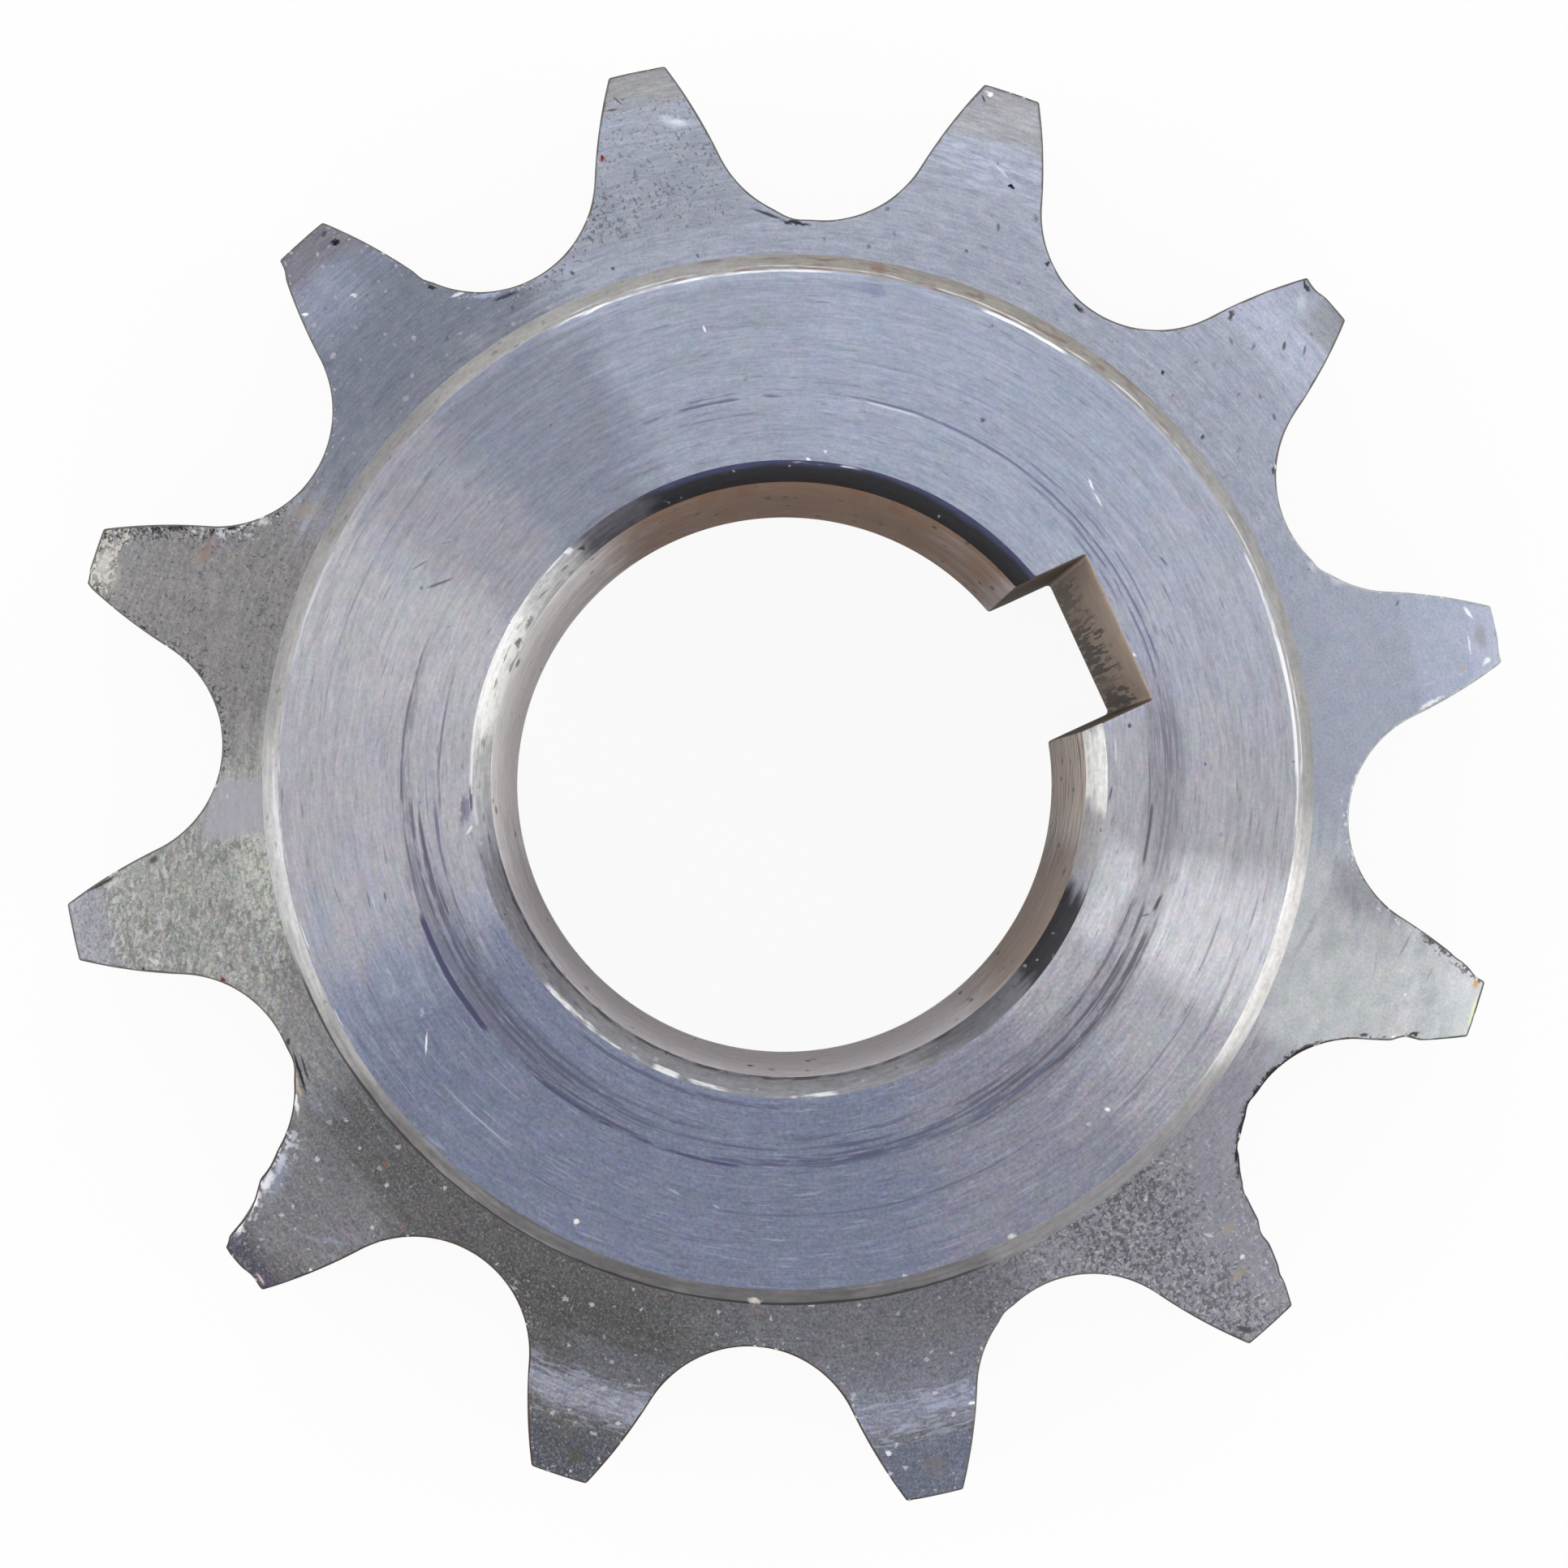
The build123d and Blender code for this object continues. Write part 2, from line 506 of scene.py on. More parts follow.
    def _note_rim(self) -> None:
        """Store on each vertex how far it is from the tooth outline, in millimetres."""
        tree = KDTree(len(self.outline))
        for number, spot in enumerate(self.outline):
            tree.insert(spot.to_3d(), number)
        tree.balance()
        for vert in self.mesh.verts:
            vert[self.rim] = tree.find((vert.co.x, vert.co.y, 0))[2]

    def build(self, name: str) -> bpy.types.Object:
        """Make the closed mesh and its object, at the origin, with its place in its mesh."""
        start = self.flank_ring(0.0)
        for vert in self.mesh.verts:
            vert.co = start(vert[self.column])
        self.front()
        self.hub()
        self.bore()
        self.back()
        bmesh.ops.remove_doubles(self.mesh, verts=self.mesh.verts[:], dist=SEAM)
        bmesh.ops.recalc_face_normals(self.mesh, faces=self.mesh.faces[:])
        self._order_faces()
        self._note_rim()
        bmesh.ops.scale(self.mesh, vec=(MM, MM, MM), verts=self.mesh.verts[:])
        data = bpy.data.meshes.new(name)
        self.mesh.to_mesh(data)
        self.mesh.free()
        data.shade_smooth()
        return put_in_scene(name, data)


def settle_normals(piece: bpy.types.Object) -> None:
    """Let the large faces decide the shading, so that flats look flat between their broken edges."""
    modifier = piece.modifiers.new("even_shading", "WEIGHTED_NORMAL")
    modifier.weight = 100
    with bpy.context.temp_override(object=piece, active_object=piece, selected_objects=[piece]):
        bpy.ops.object.modifier_apply(modifier=modifier.name)


# ---- Shader maths ----


def linear(tint: int) -> tuple[float, ...]:
    """Linear colour of a display colour, which is written as 0xRRGGBB."""
    parts = (byte / 255 for byte in tint.to_bytes(3, "big"))
    return tuple(part / 12.92 if part <= 0.04045 else ((part + 0.055) / 1.055) ** 2.4 for part in parts)


def maths(operation: str, kind: str = "ShaderNodeMath", second: int = 1) -> Callable[..., "Wire"]:
    """Method that puts a wire and another value through a maths node.

    Args:
        operation: What the node does.
        kind: Type of the node.
        second: Number of the socket that takes the other value.

    Returns:
        The method.
    """

    def method(self: "Wire", other: "Feed") -> "Wire":
        """Add the node and give the wire that leaves it."""
        return self.graph.node(kind, {"operation": operation}, {0: self, second: other})

    return method


@dataclass(frozen=True)
class Wire:
    """A number, vector or colour on its way from one shader node to others."""

    graph: "Graph"
    socket: bpy.types.NodeSocket

    __add__ = __radd__ = maths("ADD")
    __sub__ = maths("SUBTRACT")
    __truediv__ = maths("DIVIDE")
    product = maths("MULTIPLY")
    least = maths("MINIMUM")
    below = maths("LESS_THAN")  # one where the wire is under the other value, else nought

    # For vectors and colours: plus a vector, times a vector part by part, and times a number
    moved = maths("ADD", "ShaderNodeVectorMath")
    times = maths("MULTIPLY", "ShaderNodeVectorMath")
    scaled = maths("SCALE", "ShaderNodeVectorMath", 3)

    def __rsub__(self, other: "Feed") -> "Wire":
        """Difference from a plain number."""
        return self.graph.node("ShaderNodeMath", {"operation": "SUBTRACT"}, {0: other, 1: self})

    def __mul__(self, other: "Feed") -> "Wire":
        """Product, with nothing added to the graph where the other value is one."""
        return self if other == 1.0 else self.product(other)

    __rmul__ = __mul__

    def size(self) -> "Wire":
        """The value without its sign."""
        return self.graph.node("ShaderNodeMath", {"operation": "ABSOLUTE"}, {0: self})

    def rise(self, start: "Feed", end: "Feed") -> "Wire":
        """Smooth climb from nought where the value is at start to one where it is at end."""
        inputs = {0: self, 1: start, 2: end, 3: 0.0, 4: 1.0}
        return self.graph.node("ShaderNodeMapRange", {"interpolation_type": "SMOOTHSTEP"}, inputs)

    def length(self) -> "Wire":
        """Length of a vector."""
        return self.graph.node("ShaderNodeVectorMath", {"operation": "LENGTH"}, {0: self}, "Value")

    def hues(self) -> "Wire":
        """Three values of the same kind, side by side as a colour."""
        return Wire(self.graph, self.socket.node.outputs["Color"])

    def part(self, axis: int) -> "Wire":
        """One of the three parts of a vector."""
        return self.graph.node("ShaderNodeSeparateXYZ", {}, {0: self}, axis)


Feed = Wire | float | Sequence[float]
CENTRED = (-0.5, -0.5, -0.5)  # what turns a random colour into changes about nought


class Graph:
    """Makes and joins the nodes of a material's or a world's node tree."""

    def __init__(self, holder: bpy.types.Material | bpy.types.World) -> None:
        """Start with nothing in the tree."""
        holder.use_nodes = True
        self.tree = holder.node_tree
        self.tree.nodes.clear()

    def node(
        self, kind: str, settings: dict | None = None, inputs: dict | None = None, output: int | str = 0
    ) -> Wire:
        """Add a node, with its settings made first and its sockets filled or linked next.

        Args:
            kind: The node's type.
            settings: Values of the node's own properties, by name.
            inputs: Values or wires for its sockets, by name or number.
            output: Name or number of the socket that the result comes from.

        Returns:
            The wire that leaves the node.
        """
        return Wire(self, self._filled(kind, settings or {}, inputs or {}).outputs[output])

    def end(self, kind: str, surface: Wire) -> None:
        """Add the node that the tree ends in and give it its surface."""
        self._filled(kind, {}, {"Surface": surface})

    def _filled(self, kind: str, settings: dict, inputs: dict) -> bpy.types.Node:
        """Add a node with its settings and inputs."""
        node = self.tree.nodes.new(kind)
        for name, value in settings.items():
            setattr(node, name, value)
        for name, value in inputs.items():
            socket = node.inputs[name]
            if isinstance(value, Wire):
                self.tree.links.new(value.socket, socket)
            else:
                socket.default_value = (*value, 1.0) if socket.type == "RGBA" else value
        return node

    def vector(self, x: Feed, y: Feed, z: Feed) -> Wire:
        """Vector of three parts."""
        return self.node("ShaderNodeCombineXYZ", {}, {0: x, 1: y, 2: z})

    def mixed(self, share: Feed, under: Feed, over: Feed) -> Wire:
        """Colour that lies a share of the way from one colour to another."""
        settings = {"data_type": "VECTOR", "clamp_factor": True}
        return self.node("ShaderNodeMix", settings, {0: share, 4: under, 5: over}, 1)

    def shaded(self, colour: Feed, factor: Feed) -> Wire:
        """A colour made lighter or darker by a factor."""
        return self.node("ShaderNodeVectorMath", {"operation": "SCALE"}, {0: colour, 3: factor})

    def cloud(self, spot: Wire, detail: float = 2.0, rough: float = 0.5) -> Wire:
        """Smooth random value from nought to one, a unit of the spot's vector across."""
        inputs = {"Vector": spot, "Scale": 1.0, "Detail": detail, "Roughness": rough}
        return self.node("ShaderNodeTexNoise", {"noise_dimensions": "3D"}, inputs)


class Field:
    """Where a point of the sprocket is, in millimetres, for a finish to follow.

    Its numbers say how far random shifts move broad marks, thin lines and lines round the bore, and
    how far its wander can go from nought.
    """

    SHAKE = 0.55
    TREMBLE = 0.12
    SWAY = 0.12
    MOST_WANDER = 1.3

    def __init__(self, graph: Graph) -> None:
        """Read the object's own coordinates and turn them into places about the bore."""
        self.graph = graph
        self.place = graph.node("ShaderNodeTexCoord", output="Object").scaled(1 / MM)
        self.height = self.place.part(2)
        flat = self.place.times((1, 1, 0))
        self.radius = flat.length()
        outward = graph.node("ShaderNodeVectorMath", {"operation": "NORMALIZE"}, {0: flat})
        self.east, self.north = outward.part(0), outward.part(1)

    @cached_property
    def rim(self) -> Wire:
        """Distance from the tooth outline."""
        return self.graph.node("ShaderNodeAttribute", {"attribute_name": "rim"}, output="Fac")

    @cached_property
    def wander(self) -> Wire:
        """Slow change about nought, partly along the turning, that makes soft edges uneven."""
        patches = self.graph.cloud(self.place.scaled(0.3), detail=3.0, rough=0.6) - 0.5
        lines = self.graph.cloud(self.turned(0.35, run=8.0, mean_radius=25.0), detail=1.0) - 0.5
        return patches * 1.4 + lines * 1.2

    @cached_property
    def drift(self) -> Wire:
        """Small random shift, which differs from place to place."""
        return self.graph.cloud(self.place.scaled(2.6), detail=3.0, rough=0.7).hues().moved(CENTRED)

    @cached_property
    def shaken(self) -> Wire:
        """The place, shifted a little at random, so that what is drawn on it has uneven edges."""
        return self.place.moved(self.drift.scaled(self.SHAKE))

    @cached_property
    def steady(self) -> Wire:
        """The place, shifted far less, for thin lines."""
        return self.place.moved(self.drift.scaled(self.TREMBLE))

    @cached_property
    def unsteady(self) -> Wire:
        """The radius, as a line that isn't quite true follows it."""
        return self.radius + self.wander * self.SWAY

    @cached_property
    def broken(self) -> Wire:
        """Random value from nought to one that breaks a line round the bore into dashes."""
        return self.graph.cloud(self.turned(0.22, run=1.5, mean_radius=20.0), rough=0.6)

    def facing(self, bearing: float) -> Wire:
        """Cosine of the angle between a point's bearing and a given one."""
        way = along(bearing)
        return self.east * way.x + self.north * way.y

    def turned(
        self, pitch: float, run: float, mean_radius: float, upright: bool = False, seed: float = 0
    ) -> Wire:
        """Vector for noise drawn out along the turning lines.

        Args:
            pitch: Distance from line to line.
            run: Length of a line.
            mean_radius: Radius at which a line has that length.
            upright: Whether the lines follow one another up the axis and not out from it.
            seed: Moves the pattern elsewhere.

        Returns:
            The vector, with one unit to a line's pitch and run.
        """
        across = (self.height if upright else self.radius) * (1 / pitch) + seed
        turns = mean_radius / run
        return self.graph.vector(across, self.east * turns, self.north * turns)

    def laid(self, size: Sequence[float], x: float = 0.0, y: float = 0.0, bearing: float = 0.0) -> Wire:
        """The uneven place as it is counted in lengths and widths of a mark.

        Args:
            size: Half of the mark's length, half of its width, and its reach up and down.
            x: Place of its middle across the sprocket.
            y: Place of its middle along the keyway's direction.
            bearing: Direction of its length.

        Returns:
            The vector, with one unit to each half size.
        """
        place = self.steady if size[1] < THIN else self.shaken
        inputs = {0: place, 1: (x, y, 0), 2: (0, 0, math.radians(bearing)), 3: size}
        return self.graph.node("ShaderNodeMapping", {"vector_type": "TEXTURE"}, inputs)

    def patches(self, size: float, stretch: float, bearing: float) -> Wire:
        """Vector for noise in patches of a size, some times longer than wide in a direction."""
        if stretch == 1.0:
            return self.place.scaled(1 / size)
        return self.laid((size * stretch, size, size), bearing=bearing)


@dataclass(frozen=True)
class Coat:
    """What a finish has so far: colour, roughness, and height of the surface in millimetres."""

    colour: Feed
    roughness: Feed
    height: Feed = 0.0


# ---- Layers that finishes are made of ----


@dataclass(frozen=True)
class Where:
    """Part of a surface, with soft uneven edges.

    Args:
        bearing: Bearing of its middle, if it isn't all the way round.
        core: Angle from the middle within which it is full.
        reach: Angle from the middle at which it has faded out.
        inner: Radius at which it starts, if there is one.
        outer: Radius at which it ends, if there is one.
        feather: Distance over which it fades there.
        rim: Distance from the tooth outline at which it has faded out, if it keeps to that.
        ragged: How uneven its edges are.
        outside: Whether it is all but that part.
    """

    bearing: float | None = None
    core: float = 0.0
    reach: float = 30.0
    inner: float | None = None
    outer: float | None = None
    feather: float = 0.8
    rim: float | None = None
    ragged: float = 0.9
    outside: bool = False

    @property
    def cosines(self) -> tuple[float, float]:
        """Cosines of the angles at which it has faded out and within which it is full."""
        return math.cos(math.radians(self.reach)), math.cos(math.radians(self.core))

    def share(self, spot: Field) -> Feed:
        """How far inside it a point is, from nought to one."""
        share: Feed = 1.0
        if self.bearing is not None:
            edge, full = self.cosines
            uneven = spot.wander * (self.ragged * (full - edge))
            share = (spot.facing(self.bearing) + uneven).rise(edge, full)
        for radius, way in ((self.inner, 1), (self.outer, -1)):
            if radius is not None:
                half = way * self.feather / 2
                uneven = spot.radius + spot.wander * (self.ragged * self.feather)
                share = uneven.rise(radius - half, radius + half) * share
        if self.rim is not None:
            share = spot.rim.rise(self.rim, 0.0) * share
        return 1 - share if self.outside else share

    def near(self, bearing: float, half: float) -> bool:
        """Whether any of it may lie within a sector, given by its middle and half of its angle."""
        if self.bearing is None or self.outside:
            return True
        edge, full = self.cosines
        furthest = edge - Field.MOST_WANDER * self.ragged * (full - edge)
        return turn_between(self.bearing, bearing) <= math.degrees(math.acos(max(furthest, -1.0))) + half


ANYWHERE = Where()


class Layer:
    """One thing that a finish shows, laid over the coat below it.

    Some fields mean the same in every kind of layer that has them: tint is its colour and strength how
    much of that shows, where is the part of the surface that it keeps to, depth is how deep it lies or,
    if less than nought, how proud it stands, and seed moves its pattern elsewhere. Lines are as long as
    run says at one radius, and upright ones follow one another up the axis and not out from it.
    """

    where: Where = ANYWHERE

    def near(self, bearing: float, half: float) -> bool:
        """Whether it may show within a sector, given by its middle and half of its angle."""
        return self.where.near(bearing, half)

    def over(self, spot: Field, coat: Coat) -> Coat:
        """Give the coat with this layer on."""
        raise NotImplementedError


class StainAndPaintedLight(Layer):
    """A layer that colours what its mask covers, and may sink or raise it; in some uses the colour is painted
    light.
    """

    tint: int
    strength: float
    depth: float = 0.0

    def mask(self, spot: Field) -> Feed:
        """How much of the layer a point has, from nought to one."""
        raise NotImplementedError

    def over(self, spot: Field, coat: Coat) -> Coat:
        """Give the coat with this layer on."""
        mask = self.mask(spot) * self.strength
        height = coat.height - mask * self.depth if self.depth else coat.height
        return Coat(spot.graph.mixed(mask, coat.colour, linear(self.tint)), coat.roughness, height)


@dataclass(frozen=True)
class PaintedLightAndTone(StainAndPaintedLight):
    """A broad stretch of the surface in another tint: mostly painted sheen and shade, in places the metal's
    own tone.
    """

    tint: int
    where: Where
    strength: float = 1.0

    def mask(self, spot: Field) -> Feed:
        """All of where it lies."""
        return self.where.share(spot)


@dataclass(frozen=True)
class TurningLines(Layer):
    """Fine lines that the lathe tool left, a pitch apart, which lighten, darken and groove the metal.

    Contrast is how far they change its colour, detail how many finer sizes are in them and shine how
    much smoother the bright ones are.
    """

    SHINE = 0.1

    pitch: float
    run: float
    radius: float
    contrast: float
    depth: float = 0.002
    detail: float = 1.0
    upright: bool = False
    where: Where = ANYWHERE
    seed: float = 0.0

    def over(self, spot: Field, coat: Coat) -> Coat:
        """Give the coat with this layer on."""
        vector = spot.turned(self.pitch, self.run, self.radius, self.upright, self.seed)
        swing = (spot.graph.cloud(vector, self.detail, rough=0.65) - 0.5) * 2 * self.where.share(spot)
        colour = spot.graph.shaded(coat.colour, 1 + swing * self.contrast)
        height = coat.height + swing * self.depth if self.depth else coat.height
        return Coat(colour, coat.roughness - swing * self.SHINE, height)


@dataclass(frozen=True)
class Mottle(Layer):
    """Unevenness of the metal in patches, lighter and darker and of slightly different hues.

    Contrast and hue are how far they change its colour, detail is how many finer sizes are in them,
    haze is how much rougher the bright ones are, and they are some times longer than wide along a
    bearing.
    """

    HAZE = 0.08

    size: float
    contrast: float
    hue: float = 0.0
    detail: float = 1.0
    where: Where = ANYWHERE
    stretch: float = 1.0
    bearing: float = 0.0
    seed: float = 0.0

    def over(self, spot: Field, coat: Coat) -> Coat:
        """Give the coat with this layer on."""
        share = self.where.share(spot)
        vector = spot.patches(self.size, self.stretch, self.bearing).moved((self.seed, 0, self.seed))
        patches = spot.graph.cloud(vector, self.detail, rough=0.7)
        swing = (patches - 0.5) * 2 * share
        colour = spot.graph.shaded(coat.colour, 1 + swing * self.contrast)
        if self.hue:
            drift = patches.hues().moved(CENTRED).scaled(2 * self.hue * share)
            colour = colour.times(drift.moved((1, 1, 1)))
        return Coat(colour, coat.roughness + swing * self.HAZE, coat.height)


@dataclass(frozen=True)
class Grain(StainAndPaintedLight):
    """Irregular fine spots, from the scale and the pitting of the rolled plate.

    They take a share of the surface, up to about a half, and are some times longer than wide along a
    bearing.
    """

    size: float
    tint: int
    share: float
    strength: float = 0.8
    where: Where = ANYWHERE
    depth: float = 0.0
    stretch: float = 1.0
    bearing: float = 0.0
    seed: float = 0.0

    def mask(self, spot: Field) -> Feed:
        """Where the noise is high enough."""
        vector = spot.patches(self.size, self.stretch, self.bearing).moved((self.seed, self.seed, 0))
        gathering, thinning, sharpness = 0.12, 0.15, 0.07
        spots = spot.graph.cloud(vector, detail=1.0, rough=0.6) + spot.wander * gathering
        start = 0.78 - 0.5 * self.share
        where = self.where.share(spot)
        return (spots - (1 - where) * thinning).rise(start, start + sharpness) * where


@dataclass(frozen=True)
class Specks(StainAndPaintedLight):
    """Small round pits or bright chips, up to a size in radius, at a share of places a spacing apart.

    They lie on a flat that faces up or down, or on a wall, where they are some times taller than wide.
    """

    spacing: float
    size: float
    share: float
    tint: int
    strength: float = 0.9
    depth: float = 0.0
    where: Where = ANYWHERE
    flat: bool = True
    tall: float = 1.0
    seed: float = 0.0

    def mask(self, spot: Field) -> Feed:
        """Round dots of chance sizes and strengths."""
        dense = 1 / self.spacing
        vector = spot.shaken.times((dense, dense, dense / self.tall)).moved((self.seed, self.seed, 0))
        settings = {"voronoi_dimensions": "2D" if self.flat else "3D", "feature": "F1"}
        cells = spot.graph.node("ShaderNodeTexVoronoi", settings, {"Vector": vector, "Scale": 1.0})
        chance = cells.hues()
        least, faintest, core = 0.25, 0.4, 0.45
        size = (chance.part(1) * (1 - least) + least) * (self.size / self.spacing)
        there = chance.part(0).below(self.where.share(spot) * self.share)
        return (cells / size).rise(1.0, core) * there * (chance.part(2) * (1 - faintest) + faintest)


@dataclass(frozen=True)
class Mark(StainAndPaintedLight):
    """One dent, scratch, stain or smudge, with its middle at x and y and its length along a bearing.

    It fades out over the soft share of its size.
    """

    x: float
    y: float
    length: float
    width: float
    bearing: float
    tint: int
    strength: float = 0.9
    soft: float = 0.6
    depth: float = 0.0

    def near(self, bearing: float, half: float) -> bool:
        """Whether it may show within a sector, given by its middle and half of its angle."""
        spread = math.degrees((self.length / 2 + 0.5) / math.hypot(self.x, self.y))
        return turn_between(math.degrees(math.atan2(self.y, self.x)), bearing) <= spread + half

    def mask(self, spot: Field) -> Feed:
        """An uneven oval."""
        own = spot.laid((self.length / 2, self.width / 2, 1000), self.x, self.y, self.bearing)
        return own.length().rise(1.0, 1.0 - self.soft)


@dataclass(frozen=True)
class ToolMarkAndEdgeShading(StainAndPaintedLight):
    """One line round the bore, not quite true and partly worn away: a mark that a tool or a chip left, and on
    some edges a painted highlight or painted shadow.

    It runs counter-clockwise from its start to its end bearing, and its ends fade out over an angle.
    """

    radius: float
    start: float
    end: float
    width: float
    tint: int
    strength: float = 0.7
    worn: float = 0.4
    fade: float = 4.0

    def near(self, bearing: float, half: float) -> bool:
        """Whether it may show within a sector, given by its middle and half of its angle."""
        length = self.end - self.start
        return turn_between(self.start + length / 2, bearing) <= length / 2 + self.fade + half

    def mask(self, spot: Field) -> Feed:
        """A thin ring, cut to its length and worn."""
        half = (self.end - self.start) / 2
        faint, clear = self.width * 0.65, self.width * 0.3
        line = (spot.unsteady - self.radius).size().rise(faint, clear)
        edge, full = (math.cos(math.radians(max(half + way * self.fade / 2, 0.1))) for way in (1, -1))
        ends = (spot.facing(self.start + half) + spot.wander * (0.4 * (full - edge))).rise(edge, full)
        return line * ends * spot.broken.rise(self.worn - 0.1, self.worn + 0.15)


@dataclass(frozen=True)
class RimLine(StainAndPaintedLight):
    """Thin uneven line along the tooth outline, up to a width, where the edge is broken and handled."""

    width: float
    tint: int
    strength: float
    patchy: float = 0.5
    where: Where = ANYWHERE
    seed: float = 0.0

    def mask(self, spot: Field) -> Feed:
        """A line that comes and goes."""
        vector = spot.place.scaled(1.3).moved((self.seed, 0, 0))
        uneven = spot.graph.cloud(vector, detail=4.0, rough=0.7)
        width = uneven.rise(0.3 + 0.25 * self.patchy, 0.45 + 0.3 * self.patchy) * self.width
        return spot.rim.rise(width + 0.01, width * 0.3) * self.where.share(spot)


@dataclass(frozen=True)
class Streaks(StainAndPaintedLight):
    """Separate dark or bright lines along the turning, the fewer the more sparse they are."""

    tint: int
    strength: float
    where: Where = ANYWHERE
    pitch: float = 0.3
    run: float = 9.0
    radius: float = 19.0
    sparse: float = 0.5
    upright: bool = False
    seed: float = 0.0

    def mask(self, spot: Field) -> Feed:
        """Where the noise is high enough."""
        vector = spot.turned(self.pitch, self.run, self.radius, self.upright, self.seed)
        start = 0.4 + 0.25 * self.sparse
        return spot.graph.cloud(vector, detail=1.0).rise(start, start + 0.12) * self.where.share(spot)


@dataclass(frozen=True)
class BroachLines(StainAndPaintedLight):
    """Dark lines along the keyway, where the broach tore the metal or oil has burnt in.

    They lie within half a width of x, across the keyway, and fade out at the height of their top.
    """

    tint: int
    strength: float
    x: float
    half: float
    top: float
    pitch: float = 0.3
    run: float = 7.0
    seed: float = 0.0

    def mask(self, spot: Field) -> Feed:
        """Lines that are thicker and darker towards the bottom."""
        scale = (1 / self.pitch, 1 / self.pitch, 1 / self.run)
        lines = spot.graph.cloud(spot.place.times(scale).moved((self.seed, 0, 0)), rough=0.6)
        across = (spot.place.part(0) - self.x).size().rise(self.half, self.half * 0.5)
        down = spot.height.rise(self.top, self.top * 0.2)
        return (lines + down * 0.14).rise(0.54, 0.64) * across * down.rise(0.0, 0.3)


@dataclass(frozen=True)
class Finish:
    """The finish of one machined surface: bare steel with layers over it, which on some surfaces include
    painted sheen and shade.

    Args:
        name: Name of its material.
        tint: Colour of the bare metal.
        roughness: How dull it is.
        layers: What shows on it, from the bottom up.
        metallic: How much of it is bare metal.
        gloss: How much light the dull part of it mirrors.
        drawn: How strongly the turning lines draw its highlights out.
    """

    name: str
    tint: int
    roughness: float
    layers: tuple[Layer, ...]
    metallic: float = 1.0
    gloss: float = 0.5
    drawn: float = 0.0

    def materials(self, sectors: int) -> list[bpy.types.Material]:
        """Make a material for each of some equal sectors, with only the layers that show there.

        They run counter-clockwise from the sector that starts at the first tooth gap.
        """
        half = 180 / sectors
        made = []
        for number in range(sectors):
            middle = FIRST_GAP + (2 * number + 1) * half
            layers = [layer for layer in self.layers if layer.near(middle, half)]
            made.append(self._material(f"{self.name}_{number + 1}" if sectors > 1 else self.name, layers))
        return made

    def _material(self, name: str, layers: Sequence[Layer]) -> bpy.types.Material:
        """Make one material from the bare steel and some layers."""
        material = bpy.data.materials.new(name)
        graph = Graph(material)
        spot = Field(graph)
        coat = Coat(linear(self.tint), self.roughness)
        for layer in layers:
            coat = layer.over(spot, coat)
        bump = graph.node("ShaderNodeBump", {}, {"Strength": 1.0, "Distance": MM, "Height": coat.height})
        inputs = {"Base Color": coat.colour, "Roughness": coat.roughness, "Metallic": self.metallic}
        inputs |= {"Specular IOR Level": self.gloss, "Anisotropic": self.drawn, "Normal": bump}
        graph.end("ShaderNodeOutputMaterial", graph.node("ShaderNodeBsdfPrincipled", {}, inputs))
        return material


def rows(kind: type[Layer] | type[Nick], *fields: tuple) -> tuple:
    """One layer or nick for each row, which gives its fields in the order in which its kind has them."""
    return tuple(kind(*row) for row in fields)


# ---- Finishes ----

# Tints that many marks share
BLACK = 0x222024
DARK_PIT = 0x4E4C52
WHITE = 0xF0F0F2
PALE = 0xCED0D8
RUST = 0x763028
# bright burrs and chips, their glint painted into the colour
BURR_GLINT = 0xECEEF2

NICKS = rows(
    Nick,
    (8.6, -36.1, 2.21, 0.41), (7.4, -34, 1.3, 0.17), (32.9, 13.4, 0.78, 0.17), (35.4, 13.4, 0.52, 0.08),
    (30.5, 13.4, 0.52, 0.08), (28.1, 14, 0.65, 0.13), (26.3, 15.5, 0.78, 0.13), (26.6, 24.7, 0.91, 0.22),
    (25.1, 29.8, 0.65, 0.1), (23.9, 28.8, 0.52, 0.1), (-12.3, 37.3, 0.91, 0.14), (9.8, 38.2, 0.78, 0.08),
    (10, -38, 0.65, 0.1), (12.2, -37.6, 0.78, 0.12), (-25.9, -29.9, 0.65, 0.1), (1.6, 31.1, 0.78, 0.1),
    (-36.7, -13.1, 0.65, 0.09), (2.6, -30.7, 1.04, 0.12), (31.1, -1.2, 0.65, 0.08), (-33.1, -6.4, 0.65, 0.08),
    (-27.6, 13.05, 1.17, 0.12),
)

